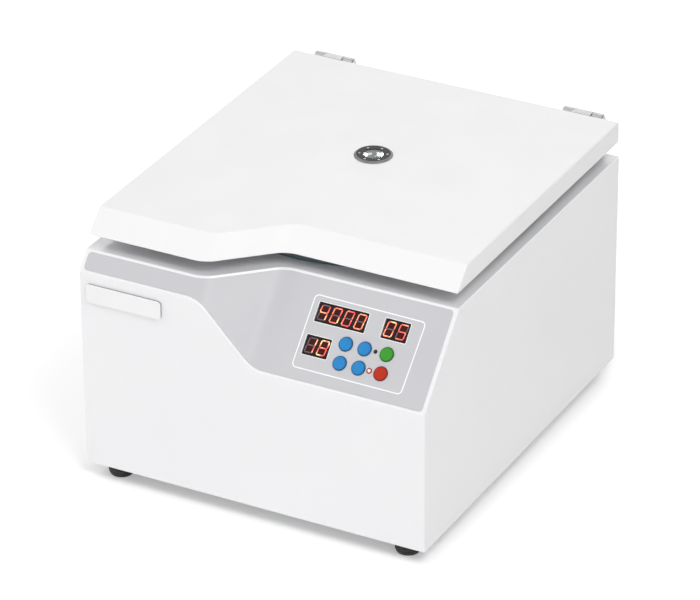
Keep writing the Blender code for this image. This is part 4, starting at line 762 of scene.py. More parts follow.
casing = buildMesh("casing", [housingForm(0, backY, lowZ, housing["edge"], housing["radii"])])
casing = cut(casing, [housingForm(housing["wall"], backY + overrun, lowZ - overrun, housing["hollowEdge"],
                                  housing["hollowRadii"])])
slotLow, slotHigh = housing["lockSlot"]
cutLow = deckZ - housing["cutDepth"]
casing = cut(casing, [
    placed(disc(housing["chamberHole"], cutLow, deckZ + overrun, 128), at(0, chamberY, 0)),
    block((*slotLow, cutLow), (*slotHigh, deckZ + overrun), housing["slotEdge"], housing["slotCorner"]),
])
casing = cut(casing, [inlayForm(inlay["half"] + inlay["gap"], inlay["gap"], -overrun,
                                inlay["sunk"] + inlay["thickness"] + inlay["gap"],
                                inlay["corner"] + inlay["gap"], (0, 0, 0, 0))])
casing = cut(casing, controlHoles())
piece("casing_shell", casing, enamel, "casing", ["housing_shell"])

film = buildMesh("film", [inlayForm(inlay["half"], 0, inlay["sunk"], inlay["sunk"] + inlay["thickness"],
                                    inlay["corner"], inlay["radii"])])
film = cut(film, controlHoles())
piece("front_inlay", film, greyFilm, "casing", ["fascia_inlay"])
print("casing made")


# Printed lines on the inlay: a thin white outline round the controls and round each display
printed = {
    "corners": ((0.0380, 0.0892), (0.1513, 0.0899), (0.1535, 0.0192), (0.0390, 0.0179)), "radius": 0.0045,
    "width": 0.0011, "height": 0.00005, "depth": 0.0001, "frame": 0.0006, "frameCorner": 0.0012,
}
inkLow = -inlay["sunk"] - printed["depth"]
inkHigh = -inlay["sunk"] + printed["height"]
outlineCorners = np.array([(x, -down) for x, down in printed["corners"]])
lines = [onSlope(ribbon(outlineCorners, printed["radius"], printed["width"], inkLow, inkHigh))]
for x, down, width, _ in controls["displays"].values():
    frameCorners = rectangleCorners(width / 2 + controls["gap"] + printed["frame"],
                                    controls["displayHeight"] / 2 + controls["gap"] + printed["frame"])
    frameLine = ribbon(frameCorners, printed["frameCorner"], printed["frame"], inkLow, inkHigh, 3)
    lines.append(onSlope(frameLine, x, down))
piece("printed_lines", lines, whiteInk, "casing")

# Displays: dark blocks, with seven slanted strokes to a digit. Strokes a to g, in that order
digits = {
    "height": 0.0150, "width": 0.0089, "stroke": 0.00115, "slant": math.tan(math.radians(8)), "gap": 0.00016,
    "rise": 0.00012, "depth": 0.0004, "corner": 0.00015, "bevel": 0.00008, "pitch": 0.99, "lift": 0.0002,
    "glowSide": 1.25, "glowEnd": 1.05, "glowShift": 0.25, "glowRise": 0.4, "glowDepth": 0.0003,
    "glowCorner": 0.0002,
}
strokes = {"0": "abcdef", "1": "bc", "4": "bcfg", "5": "acdfg", "8": "abcdefg"}


# One stroke: a six-sided bar with pointed ends, sheared by the slant: x = u + v tan s.
def strokeShape(kind, centre):
    half = digits["height"] / 4
    stroke = digits["stroke"]
    side = digits["width"] / 2 - stroke / 2
    middle = {
        "a": (0, 2 * half - stroke / 2), "g": (0, 0), "d": (0, -2 * half + stroke / 2),
        "f": (-side, half - stroke / 4), "b": (side, half - stroke / 4),
        "e": (-side, -half + stroke / 4), "c": (side, -half + stroke / 4),
    }[kind]
    level = kind in "agd"
    reach = (side if level else half - stroke / 4) - digits["gap"]
    point = stroke / 2
    bar = np.array([(-reach, 0), (-reach + point, -point), (reach - point, -point), (reach, 0),
                    (reach - point, point), (-reach + point, point)])
    if not level:
        bar = bar[:, ::-1] * (-1, 1)
    bar = bar + middle
    bar[:, 0] += bar[:, 1] * digits["slant"]
    top = -controls["displaySunk"] + digits["rise"]
    levels = [(0, top - digits["depth"]), (0, top - digits["bevel"]), (digits["bevel"], top)]
    return slab(bar + centre, digits["corner"], levels, 2)


# The dark field inside a loop of strokes, coloured red as painted light from the strokes: a sheared plate,
# upper or lower.
def glowShape(side, centre):
    half = np.array([digits["width"] / 2 - digits["stroke"] * digits["glowSide"],
                     digits["height"] / 4 - digits["stroke"] * digits["glowEnd"]])
    shift = digits["height"] / 4 - digits["stroke"] * digits["glowShift"]
    field = rectangleCorners(*half, (0, side * shift))
    field[:, 0] += field[:, 1] * digits["slant"]
    top = -controls["displaySunk"] + digits["rise"] * digits["glowRise"]
    return slab(field + centre, digits["glowCorner"], [(0, top - digits["glowDepth"]), (0, top)], 2)


for name, (x, down, width, shown) in controls["displays"].items():
    face = rectangleCorners(width / 2, controls["displayHeight"] / 2)
    back = -controls["displaySunk"] - controls["displayDepth"]
    levels = softEdge(back, -controls["displaySunk"], controls["displayEdge"])
    body = slab(face, controls["displayCorner"], levels)
    piece(name + "_face", [onSlope(body, x, down)], displayFace, "casing", [name])
    lit = []
    unlit = []
    glow = []
    for index, digit in enumerate(shown):
        across = (index - (len(shown) - 1) / 2) * width / len(shown) * digits["pitch"]
        place = np.array([across, digits["lift"]])
        for kind in "abcdefg":
            made = onSlope(strokeShape(kind, place), x, down)
            (lit if kind in strokes[digit] else unlit).append(made)
        glow += [onSlope(glowShape(side, place), x, down) for side in (-1, 1)]
    piece(name + "_lit", lit, litRed, "casing")
    piece(name + "_unlit", unlit, dimSegment, "casing")
    piece(name + "_glow", glow, paintedSegmentGlow, "casing")

# Keys: a domed cap over a flange that holds it behind the wall, and a stem to its switch
keyShape = {
    "proud": 0.0009, "dome": 0.0005, "edge": 0.0005, "flange": 0.0082, "flangeDepth": 0.001, "stem": 0.0025,
    "depth": 0.010, "edgeShadeStart": 0.76, "edgeShadeWidth": 0.18, "edgeShadePower": 1.3,
}


# Half section of a key: the dome height falls with the square of the radius, then the edge turns down.
def keyProfile():
    radius = controls["keyRadius"]
    crown = radius - keyShape["edge"]
    across = np.linspace(0, crown, 17)
    dome = [(r, keyShape["proud"] + keyShape["dome"] * (1 - (r / crown) ** 2)) for r in across]
    edge = arcPoints((crown, keyShape["proud"] - keyShape["edge"]), keyShape["edge"], 90, 0, 5)
    wall = -housing["wall"] - clearance
    under = wall - keyShape["flangeDepth"]
    foot = [(radius, wall), (keyShape["flange"], wall), (keyShape["flange"], under),
            (keyShape["stem"], under), (keyShape["stem"], -keyShape["depth"]), (0, -keyShape["depth"])]
    return dome + edge[1:] + foot


# The share of painted edge shade at each point, in "rim": 0 over the middle, rising to 1 at the key's radius.
def markEdgeShade(made, x, down):
    points = asShape(made.data)[0] - np.array(slopeFrame @ Vector((x, -down, 0)))
    outward = np.array(slopeFrame.to_3x3().col[2])
    reach = np.linalg.norm(points - (points @ outward)[:, None] * outward, axis=1) / controls["keyRadius"]
    rim = made.data.attributes.new("rim", "FLOAT", "POINT")
    share = np.clip((reach - keyShape["edgeShadeStart"]) / keyShape["edgeShadeWidth"], 0, 1)
    rim.data.foreach_set("value", share ** keyShape["edgeShadePower"])


for name, (x, down, finish, slotName) in controls["keys"].items():
    key = onSlope(turned(keyProfile(), 64), x, down)
    # Each cap carries the painted shade at its edge
    markEdgeShade(piece(name + "_cap", [key], finish, name, [name]), x, down)

# Lamps: domed lenses, the lit one inside a red ring
lamp = {"proud": 0.0003, "depth": 0.0105, "dome": 0.0002, "lens": 0.6, "lensDome": 0.0001, "ring": 0.62}


# Half section of a lamp's lens from an inner radius to its rim, slightly domed.
def lampProfile(radius, inner, dome):
    across = np.linspace(inner, radius, 6)
    top = [(r, lamp["proud"] - dome * (r / radius) ** 2) for r in across]
    return top + [(radius, -lamp["depth"]), (inner, -lamp["depth"])]


x, down, radius = controls["lamps"]["run_lamp"]
lens = turned(lampProfile(radius, 0, lamp["dome"]), 32)
piece("run_lamp_lens", [onSlope(lens, x, down)], darkLens, "casing", ["run_lamp"])
x, down, radius = controls["lamps"]["stop_lamp"]
lens = turned(lampProfile(radius * lamp["lens"], 0, lamp["lensDome"]), 32)
piece("stop_lamp_lens", [onSlope(lens, x, down)], lampLens, "casing", ["stop_lamp"])
ring = turned(lampProfile(radius, radius * lamp["ring"], lamp["dome"]), 32, wrap=True)
piece("stop_lamp_ring", [onSlope(ring, x, down)], redKey, "casing")
print("controls made")


# Name plate: an acrylic face with a soft bevel on a thin dark sheet, whose edge is a painted shadow line that
# sets it off the front
badge = {
    "left": -0.172, "right": -0.0925, "low": 0.1902, "high": 0.209, "corner": 0.0035, "bevel": 0.0004,
    "thickness": 0.002, "backing": 0.0011, "backingInset": 0.0001,
}
frontFrame = axes((0, frontY, 0), (1, 0, 0), (0, 0, 1), (0, -1, 0))
badgeMiddle = ((badge["left"] + badge["right"]) / 2, (badge["low"] + badge["high"]) / 2)
badgeCorners = rectangleCorners((badge["right"] - badge["left"]) / 2, (badge["high"] - badge["low"]) / 2,
                                badgeMiddle)
badgeSeam = clearance + badge["backing"]
faceLevels = roundTop(badgeSeam, clearance + badge["thickness"], badge["bevel"])
backLevels = [(badge["backingInset"], clearance), (badge["backingInset"], badgeSeam)]
piece("name_plate", [placed(slab(badgeCorners, badge["corner"], faceLevels), frontFrame)], badgeFinish,
      "casing", ["badge_plate"])
# Painted shadow: the dark sheet under the plate shows as a dark line round it
piece("name_plate_shadow_sheet", [placed(slab(badgeCorners, badge["corner"], backLevels), frontFrame)],
      badgeShadowSheet, "casing")


# Lid
lid = {
    "wall": 0.0025, "edge": 0.0016, "frontAngle": 46.9, "radii": (0.0007, 0.0014, 0.0014, 0.0007),
    "hollowEdge": 0.001, "hollowRadii": (0.0003, 0.001, 0.001, 0.0003), "port": 0.017,
}
lidLean = math.tan(math.radians(lid["frontAngle"]))
lidStretch = math.hypot(1, lidLean)
centre = at(0, chamberY, 0)


# The lid's form or, with a wall, its hollow: front y = L(x) + d s + (z - lowest) tan a, top z = T - d.
def lidForm(wall, low, edge, radii):
    x, ends = endRows(lidHigh.x - wall, edge)
    front = edgeLine(x) + (wall + ends) * lidStretch
    top = lidHigh.z - wall - ends
    back = lidHigh.y - wall - ends
    corners = [
        (front + lidLean * (low - lidLow.z), low),
        (front + lidLean * (top - lidLow.z), top),
        (back, top),
        (back, low),
    ]
    return lengthwise(x, corners, radii, 1 - ends / edge)


# Cutter for the viewing port through whatever lies between two heights.
def portHole(low, high):
    return placed(disc(lid["port"], low - overrun, high + overrun, 96), centre)


lidShell = buildMesh("lidShell", [lidForm(0, lidLow.z, lid["edge"], lid["radii"])])
lidShell = cut(lidShell, [lidForm(lid["wall"], lidLow.z - overrun, lid["hollowEdge"], lid["hollowRadii"])])
lidShell = cut(lidShell, [portHole(lidLow.z, lidHigh.z)])
piece("lid_cover", lidShell, lidPlastic, "lid", ["lid_shell"])

# Viewing port: a bevelled metal ring, a black clamping ring with six small screws, and a domed glass
bezelLow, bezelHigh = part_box("window_bezel")
port = {
    "flange": 0.0186, "bevel": 0.0014, "bore": 0.0122, "tube": 0.0144, "glass": 0.0133,
    "glassThickness": 0.002, "glassEdge": 0.0003, "sunk": 0.0006, "dome": 0.00055, "clampOuter": 0.0164,
    "clampInner": 0.0100, "clampSunk": 0.00015, "clampEdge": 0.0002, "seam": 0.0001, "screwCircle": 0.0134,
    "screws": 6, "screwRadius": 0.0011, "screwHeight": 0.00028, "screwTurn": 20,
}
seatZ = lidHigh.z + clearance
portTop = bezelHigh.z
glassTop = portTop - port["sunk"]
glassLow = glassTop - port["glassThickness"]
clampLow = glassTop - 0.00005
seam = port["seam"]
bezelProfile = [
    (port["bore"], bezelLow.z), (port["bore"], glassLow - clearance),
    (port["glass"] + clearance, glassLow - clearance), (port["glass"] + clearance, clampLow - seam),
    (port["clampOuter"] + seam, clampLow - seam), (port["clampOuter"] + seam, portTop - seam),
    (port["clampOuter"] + 0.0002, portTop), (port["flange"] - port["bevel"] - seam, portTop),
    (port["flange"] - port["bevel"] + 0.0002, portTop - seam), (port["flange"] - seam, seatZ + 0.00042),
    (port["flange"], seatZ + 0.0003), (port["flange"], seatZ), (port["tube"], seatZ),
    (port["tube"], bezelLow.z),
]
piece("port_bezel", [placed(turned(bezelProfile, 96, wrap=True), centre)], bezelMetal, "lid",
      ["window_bezel"])
clampTop = portTop - port["clampSunk"]
clampEdge = port["clampEdge"]
clampProfile = [
    (port["clampInner"], clampLow), (port["clampInner"], clampTop - clampEdge),
    (port["clampInner"] + clampEdge, clampTop), (port["clampOuter"] - clampEdge, clampTop),
    (port["clampOuter"], clampTop - clampEdge), (port["clampOuter"], clampLow),
]
piece("port_clamp_ring", [placed(turned(clampProfile, 96, wrap=True), centre)], blackAnodised, "lid")
across = np.linspace(0, port["clampInner"] - clampEdge, 13)
crown = [(r, glassTop - seam + port["dome"] * (1 - (r / port["clampInner"]) ** 2)) for r in across]
glassProfile = [
    (0, glassLow), (port["glass"] - port["glassEdge"], glassLow),
    (port["glass"], glassLow + port["glassEdge"]), (port["glass"], glassTop - seam - port["glassEdge"]),
    (port["glass"] - port["glassEdge"], glassTop - seam),
]
piece("port_glass", [placed(turned(glassProfile + crown[::-1], 96), centre)], windowGlass, "lid",
      ["window_glass"])


# Outline of a cross: twelve corners.
def plusOutline(arm, half):
    quarter = np.array([(half, half), (arm, half), (arm, -half)])
    corners = []
    for step in range(4):
        angle = -step * math.pi / 2
        spin = np.array([(math.cos(angle), -math.sin(angle)), (math.sin(angle), math.cos(angle))])
        corners.append(quarter @ spin.T)
    return np.concatenate(corners)


# Pan head with a cross recess, standing on z = 0: a dome of elliptical section, cut by a cross.
def screwHead(radius, height):
    angle = smoothTurn(0, math.pi / 2, 6)
    profile = [(0.0, -radius * 0.4), (radius * 0.6, -radius * 0.4), (radius * 0.6, 0), (radius, 0)]
    profile += [(radius * math.cos(a) ** 0.5, height * math.sin(a)) for a in angle[1:-1]] + [(0.0, height)]
    head = buildMesh("screwHead", [turned(profile, 32)])
    cross = extruded(plusOutline(radius * 0.55, radius * 0.11), height * 0.35, height * 1.5)
    return asShape(cut(head, [cross]))


portScrew = screwHead(port["screwRadius"], port["screwHeight"])
screws = []
for index in range(port["screws"]):
    angle = math.radians(index * 360 / port["screws"] + port["screwTurn"])
    place = at(port["screwCircle"] * math.cos(angle), chamberY + port["screwCircle"] * math.sin(angle),
               portTop - port["screwHeight"])
    screws.append(placed(portScrew, place @ Matrix.Rotation(angle * 1.7, 4, "Z")))
piece("port_screws", screws, zincSteel, "lid")

# Plate under the lid: its front follows the lid's inside, and screws hold it at the corners and the sides
linerLow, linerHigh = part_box("lid_liner")
liner = {
    "corner": 0.004, "radii": (0.0003, 0.0003, 0.0003, 0.0003), "screwRadius": 0.003, "screwHeight": 0.0016,
    "screws": ((-0.162, 0.187), (0.162, 0.187), (-0.168, 0.03), (0.168, 0.03), (-0.160, -0.160),
               (0.162, -0.110)),
}


# The plate between two heights: front y = L(x) + inset x stretch + (z - lowest) tan a, back y = B - inset.
def linerForm():
    x, ends = endRows(linerHigh.x, liner["corner"])
    front = edgeLine(x) + (lid["wall"] + clearance + ends) * lidStretch
    corners = [
        (front + lidLean * (linerLow.z - lidLow.z), linerLow.z),
        (front + lidLean * (linerHigh.z - lidLow.z), linerHigh.z),
        (linerHigh.y - ends, linerHigh.z),
        (linerHigh.y - ends, linerLow.z),
    ]
    return lengthwise(x, corners, liner["radii"], np.ones_like(x), steps=3)


linerPlate = cut(buildMesh("linerPlate", [linerForm()]), [portHole(linerLow.z, linerHigh.z)])
piece("lid_liner_plate", linerPlate, linerCoat, "lid", ["lid_liner"])
linerScrew = screwHead(liner["screwRadius"], liner["screwHeight"])
piece("liner_screws", [placed(linerScrew, at(x, y, linerLow.z) @ upsideDown) for x, y in liner["screws"]],
      zincSteel, "lid")
print("lid made")


# Hinges: brackets on the rear panel, leaves on the lid, pins through both
hinge = {
    "y": 0.2098, "z": 0.2665, "half": 0.0205, "knuckle": 0.005, "middle": 0.0099, "armStart": 0.0102,
    "pin": 0.002, "pinEdge": 0.0004, "headRadius": 0.003, "head": 0.0018, "headEdge": 0.0007,
    "plate": (0.188, 0.218), "plateThickness": 0.003, "plateInset": 0.00001, "leafThickness": 0.002,
    "leafDrop": 0.0115, "edge": 0.0003,
}
sideways = axes((0, hinge["y"], hinge["z"]), (0, 1, 0), (0, 0, 1), (1, 0, 0))
plateLow, plateHigh = (height - hinge["z"] for height in hinge["plate"])


# Arc of a knuckle's outside, about the hinge's axis.
def knuckleArc(start, end):
    return arcPoints((0, 0), hinge["knuckle"], start, end, 24)


# Extruded outline, bored for the pin.
def withBore(outline, low, high):
    made = buildMesh("knuckle", [extruded(outline, low, high)])
    bore = disc(hinge["pin"] + clearance, low - overrun, high + overrun, 32)
    return asShape(cut(made, [bore]))


# Adds a small bevel to the hard edges of a piece.
def softened(made, width, angle=40, segments=2):
    step = made.modifiers.new("worn edges", "BEVEL")
    step.width = width
    step.segments = segments
    step.limit_method = "ANGLE"
    step.angle_limit = math.radians(angle)
    step.harden_normals = False
    made.modifiers.move(len(made.modifiers) - 1, 0)


for name in ("hinge_left", "hinge_right"):
    nodeLow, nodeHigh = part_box(name + "_bracket")
    middleX = (nodeLow.x + nodeHigh.x) / 2
    onAxis = at(middleX, 0, 0) @ sideways
    face = nodeLow.y - hinge["y"]
    front = face + hinge["plateThickness"]
    arm = [(face, plateHigh), (face, plateLow), (front, plateLow)] + knuckleArc(-20, 190)
    arms = [
        withBore(arm, -hinge["half"], -hinge["armStart"]),
        withBore(arm, hinge["armStart"], hinge["half"]),
        extruded([(face, plateLow), (front, plateLow), (front, plateHigh), (face, plateHigh)],
                 -hinge["half"] + hinge["plateInset"], hinge["half"] - hinge["plateInset"]),
    ]
    made = piece(name + "_arms", [placed(shape, onAxis) for shape in arms], hingeSteel, "casing",
                 [name + "_bracket"])
    softened(made, hinge["edge"])

    inner = -hinge["knuckle"] - hinge["leafThickness"]
    leaf = knuckleArc(-100, 100) + [
        (-hinge["knuckle"], hinge["knuckle"] - clearance), (inner, hinge["knuckle"] - clearance),
        (inner, -hinge["leafDrop"]), (-hinge["knuckle"], -hinge["leafDrop"]),
    ]
    made = piece(name + "_lid_leaf", [placed(withBore(leaf, -hinge["middle"], hinge["middle"]), onAxis)],
                 hingeSteel, "lid", [name + "_leaf"])
    softened(made, hinge["edge"])

    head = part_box(name + "_pin")[1].x - hinge["head"] - middleX
    pinEdge = hinge["pinEdge"]
    headEdge = hinge["headEdge"]
    pinProfile = [(0, -hinge["half"])]
    pinProfile += arcPoints((hinge["pin"] - pinEdge, -hinge["half"] + pinEdge), pinEdge, -90, 0, 3)
    pinProfile += [(hinge["pin"], head), (hinge["headRadius"], head)]
    pinProfile += arcPoints((hinge["headRadius"] - headEdge, head + hinge["head"] - headEdge), headEdge,
                            0, 90, 4)
    pinProfile += [(0, head + hinge["head"])]
    piece(name + "_pin_turned", [placed(turned(pinProfile, 48), onAxis)], zincSteel, "casing",
          [name + "_pin"])


# Feet: moulded rubber with three grooves round the side and a screw in the recess
foot = {
    "radius": 0.0125, "sole": 0.0112, "soleEdge": 0.0008, "topEdge": 0.0004, "recess": 0.0042,
    "recessDepth": 0.004, "recessEdge": 0.0003, "grooves": 3, "grooveDepth": 0.0004, "grooveStart": 0.0036,
    "rows": 37, "screwRadius": 0.0034, "screwHeight": 0.0018,
}
footScrew = screwHead(foot["screwRadius"], foot["screwHeight"])
for name in ("foot_front_left", "foot_front_right", "foot_rear_left", "foot_rear_right"):
    footLow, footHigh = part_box(name)
    place = at((footLow.x + footHigh.x) / 2, (footLow.y + footHigh.y) / 2, 0)
    rise = np.linspace(foot["grooveStart"], footHigh.z - foot["topEdge"], foot["rows"])
    wave = np.cos(np.linspace(0, foot["grooves"] * 2 * np.pi, foot["rows"]))
    side = foot["radius"] - foot["grooveDepth"] * np.clip(0.5 - wave, 0, 1)
    soleEdge = foot["soleEdge"]
    profile = [
        (0, foot["recessDepth"]), (foot["recess"], foot["recessDepth"]), (foot["recess"], foot["recessEdge"]),
        (foot["recess"] + foot["recessEdge"], 0),
    ]
    profile += arcPoints((foot["sole"] - soleEdge, soleEdge), soleEdge, -90, -20, 4) + list(zip(side, rise))
    profile += [(foot["radius"] - foot["topEdge"], footHigh.z), (0, footHigh.z)]
    piece(name + "_rubber", [placed(turned(profile, 72), place)], footRubber, "casing",
          [name])
    piece(name + "_screw", [placed(footScrew, place @ at(0, 0, foot["recessDepth"]) @ upsideDown)], zincSteel,
          "casing")


# Chamber: spun bowl, and the seal on its rim
bowl = {
    "radius": 0.145, "wall": 0.0012, "fillet": 0.014, "rim": 0.0095, "rimRound": 0.0012, "rimFoot": 0.0004,
    "opening": 0.022,
}
floorZ = bowlLow.z + bowl["wall"]
rimTop = bowlHigh.z
rimLow = rimTop - bowl["wall"]
rimRound = bowl["rimRound"]
outer = bowl["radius"] + bowl["wall"]
rimEnd = outer + bowl["rim"]
filletCentre = (bowl["radius"] - bowl["fillet"], floorZ + bowl["fillet"])
bowlProfile = [(bowl["opening"], floorZ)] + arcPoints(filletCentre, bowl["fillet"], -90, 0, 12)
bowlProfile += arcPoints((bowl["radius"] + rimRound, rimTop - rimRound), rimRound, 180, 90, 4)
bowlProfile += [(rimEnd, rimTop), (rimEnd, rimLow), (outer + bowl["rimFoot"], rimLow),
                (outer, rimLow - bowl["rimFoot"])]
bowlProfile += arcPoints(filletCentre, bowl["fillet"] + bowl["wall"], 0, -90, 12)
bowlProfile += [(bowl["opening"], bowlLow.z)]
piece("spun_bowl", [placed(turned(bowlProfile, 160, wrap=True), centre)], bowlSteel, "casing",
      ["chamber_bowl"])

# The seal's top dips twice between its two rounded edges: z = Z - lip (1 - cos 4 pi u) / 4
sealLow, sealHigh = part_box("chamber_seal")
seal = {"inner": 0.1465, "outer": 0.161, "round": 0.003, "lipDepth": 0.0016}
overRim = rimTop + clearance
arcZ = sealHigh.z - seal["round"]
innerArc = seal["inner"] + seal["round"]
outerArc = seal["outer"] - seal["round"]
sealProfile = [(seal["inner"], overRim)]
sealProfile += arcPoints((innerArc, arcZ), seal["round"], 180, 90, 6)[:-1]
sealProfile += [(innerArc + u * (outerArc - innerArc),
                 sealHigh.z - seal["lipDepth"] * (1 - math.cos(4 * math.pi * u)) / 4)
                for u in np.linspace(0, 1, 13)]
sealProfile += arcPoints((outerArc, arcZ), seal["round"], 90, 0, 6)[1:]
sealProfile += [(seal["outer"], sealLow.z), (rimEnd + clearance, sealLow.z), (rimEnd + clearance, overRim)]
piece("seal_ring", [placed(turned(sealProfile, 160, wrap=True), centre)], sealRubber, "casing",
      ["chamber_seal"])
print("chamber made")


# Shaft gaiter: a bellows of soft rubber between the motor and the floor of the bowl
gaiterLow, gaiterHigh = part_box("shaft_gaiter")
gaiter = {
    "inner": 0.0192, "innerEdge": 0.0003, "neck": 0.0217, "neckEdge": 0.0005, "swell": 0.0259,
    "under": 0.1165, "folds": 2,
}
fold = np.linspace(0, 1, 25)
swell = 0.5 - 0.5 * np.cos(gaiter["folds"] * 2 * np.pi * fold)
bellows = gaiter["neck"] + (gaiter["swell"] - gaiter["neck"]) * swell
gaiterProfile = list(zip(bellows, gaiterLow.z + fold * (gaiter["under"] - gaiterLow.z)))
gaiterProfile += [
    (gaiter["neck"], gaiterHigh.z - gaiter["neckEdge"]), (gaiter["neck"] - gaiter["neckEdge"], gaiterHigh.z),
    (gaiter["inner"] + gaiter["innerEdge"], gaiterHigh.z),
    (gaiter["inner"], gaiterHigh.z - gaiter["innerEdge"]), (gaiter["inner"], gaiterLow.z),
]
piece("gaiter_bellows", [placed(turned(gaiterProfile, 96, wrap=True), centre)], footRubber, "casing",
      ["shaft_gaiter"])


# Rotor: a turned head with a slot for each bucket, and seats open upwards for their trunnions
rotor = {
    "radius": 0.080, "thickness": 0.018, "round": 0.0015, "hub": 0.022, "hubRound": 0.004, "hubEdge": 0.001,
    "boss": 0.018, "bossHeight": 0.004, "bossEdge": 0.0006, "bore": 0.0083, "boreEdge": 0.0005,
    "slotHalf": 0.0275, "slotStart": 0.0342, "slotOver": 0.01, "slotCorner": 0.005, "slotLow": -0.016,
    "slotHigh": 0.010, "circle": 0.062, "trunnionZ": 0.200, "seat": 0.0043, "seatTop": 0.0095,
    "seatReach": 0.0345, "worn": 0.0005,
}
turns = {"right": 0, "rear": 90, "left": 180, "front": 270}
headTop = rotorHigh.z - rotor["bossHeight"]
headLow = headTop - rotor["thickness"]
edge = rotor["round"]
hubRound = rotor["hubRound"]
rotorProfile = [
    (rotor["bore"], rotorLow.z), (rotor["bore"], rotorHigh.z - rotor["boreEdge"]),
    (rotor["bore"] + rotor["boreEdge"], rotorHigh.z), (rotor["boss"] - rotor["bossEdge"], rotorHigh.z),
    (rotor["boss"], rotorHigh.z - rotor["bossEdge"]),
]
rotorProfile += arcPoints((rotor["boss"] + edge, headTop + edge), edge, 180, 270, 4)
rotorProfile += arcPoints((rotor["radius"] - edge, headTop - edge), edge, 90, 0, 5)
rotorProfile += arcPoints((rotor["radius"] - edge, headLow + edge), edge, 0, -90, 5)
rotorProfile += arcPoints((rotor["hub"] + hubRound, headLow - hubRound), hubRound, 90, 180, 6)
rotorProfile += [(rotor["hub"], rotorLow.z + rotor["hubEdge"]), (rotor["hub"] - rotor["hubEdge"], rotorLow.z)]


# Place of a bucket: its X points out from the spindle and its Y lies along the trunnions.
def bucketPlace(degrees):
    turn = Matrix.Rotation(math.radians(degrees), 4, "Z")
    return at(0, chamberY, rotor["trunnionZ"]) @ turn @ at(rotor["circle"], 0, 0)


slotEnd = rotor["radius"] + rotor["slotOver"]
slotCorners = rectangleCorners((slotEnd - rotor["slotStart"]) / 2, rotor["slotHalf"],
                               ((slotEnd + rotor["slotStart"]) / 2 - rotor["circle"], 0))
slot = slab(slotCorners, rotor["slotCorner"], [(0, rotor["slotLow"]), (0, rotor["slotHigh"])], 8)
seatOutline = arcPoints((0, 0), rotor["seat"], 180, 360, 20)
seatOutline += [(rotor["seat"], rotor["seatTop"]), (-rotor["seat"], rotor["seatTop"])]
seat = placed(extruded(seatOutline, -rotor["seatReach"], rotor["seatReach"]),
              axes((0, 0, 0), (1, 0, 0), (0, 0, 1), (0, -1, 0)))
head = buildMesh("rotorHead", [placed(turned(rotorProfile, 160, wrap=True), centre)])
for cutter in (slot, seat):
    head = cut(head, [placed(cutter, bucketPlace(degrees)) for degrees in turns.values()])
made = piece("rotor_head", head, rotorMetal, "rotor", ["rotor"])
softened(made, rotor["worn"])

# Rotor nut: straight knurling cut into its side, every other point of the wall standing lower
nut = {
    "radius": 0.013, "bore": 0.0053, "topEdge": 0.0006, "footEdge": 0.0003, "chamfer": 0.002,
    "chamferRun": 0.0002, "chamferEnd": 0.0004, "wallFoot": 0.0008, "footInset": 0.0005, "footRun": 0.0002,
    "sides": 144, "knurl": 0.00035,
}
nutLow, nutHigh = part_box("rotor_nut")
chamferLow = nutHigh.z - nut["chamfer"]
nutFoot = nut["radius"] - nut["footInset"]
nutProfile = [
    (nut["bore"], nutLow.z + nut["footEdge"]), (nut["bore"], nutHigh.z - nut["topEdge"]),
    (nut["bore"] + nut["topEdge"], nutHigh.z), (nut["radius"] - nut["chamfer"], nutHigh.z),
    (nut["radius"] - nut["chamferRun"], chamferLow), (nut["radius"], chamferLow - nut["chamferEnd"]),
    (nut["radius"], nutLow.z + nut["wallFoot"]), (nutFoot, nutLow.z + nut["footEdge"]),
    (nutFoot - nut["footRun"], nutLow.z), (nut["bore"] + nut["footEdge"], nutLow.z),
]
nutPoints, nutFaces = turned(nutProfile, nut["sides"], wrap=True)
nutGrid = nutPoints.reshape(len(nutProfile), nut["sides"], 3)
nutGrid[5:7, ::2, :2] *= 1 - nut["knurl"] / nut["radius"]
piece("rotor_nut_knurled", [placed((nutPoints, nutFaces), centre)], zincSteel, "rotor",
      ["rotor_nut"], smoothAngle=25)

# Buckets: deep cups with a rolled rim, two turned grooves and a collar round each trunnion
bucket = {
    "radius": 0.024, "inner": 0.0215, "above": 0.010, "below": 0.072, "floor": 0.003, "round": 0.007,
    "rim": 0.0252, "rimHeight": 0.004, "rimRound": 0.0008, "rimSlope": 0.0012, "grooves": (-0.014, -0.058),
    "grooveDepth": 0.0004, "grooveHalf": 0.0008, "barStart": 0.0012,
    "bars": ((0.004, 0.034, 0.0006), (0.0068, 0.0257, 0.0004)),      # radius, end and chamfer
}
innerRound = bucket["round"] - (bucket["radius"] - bucket["inner"])
innerFloor = -bucket["below"] + bucket["floor"]
edge = bucket["rimRound"]
rimFoot = bucket["above"] - bucket["rimHeight"]
cup = [(0, innerFloor)]
cup += arcPoints((bucket["inner"] - innerRound, innerFloor + innerRound), innerRound, -90, 0, 8)
cup += arcPoints((bucket["inner"] + edge, bucket["above"] - edge), edge, 180, 90, 4)
cup += arcPoints((bucket["rim"] - edge, bucket["above"] - edge), edge, 90, 0, 4)
cup += [(bucket["rim"], rimFoot), (bucket["radius"], rimFoot - bucket["rimSlope"])]
sunk = bucket["radius"] - bucket["grooveDepth"]
half = bucket["grooveHalf"]
for height in bucket["grooves"]:
    cup += [(bucket["radius"], height + half), (sunk, height + half / 2), (sunk, height - half / 2),
            (bucket["radius"], height - half)]
cup += arcPoints((bucket["radius"] - bucket["round"], -bucket["below"] + bucket["round"]), bucket["round"],
                 0, -90, 10)
cup += [(0, -bucket["below"])]
bucketShapes = [turned(cup, 96)]
for side in (1, -1):
    outward = axes((0, 0, 0), (side, 0, 0), (0, 0, 1), (0, -side, 0))
    for radius, end, chamfer in bucket["bars"]:
        bar = [(radius, bucket["inner"] + bucket["barStart"]), (radius, end - chamfer),
               (radius - chamfer, end)]
        bucketShapes.append(placed(solidOf(bar, 40), outward))
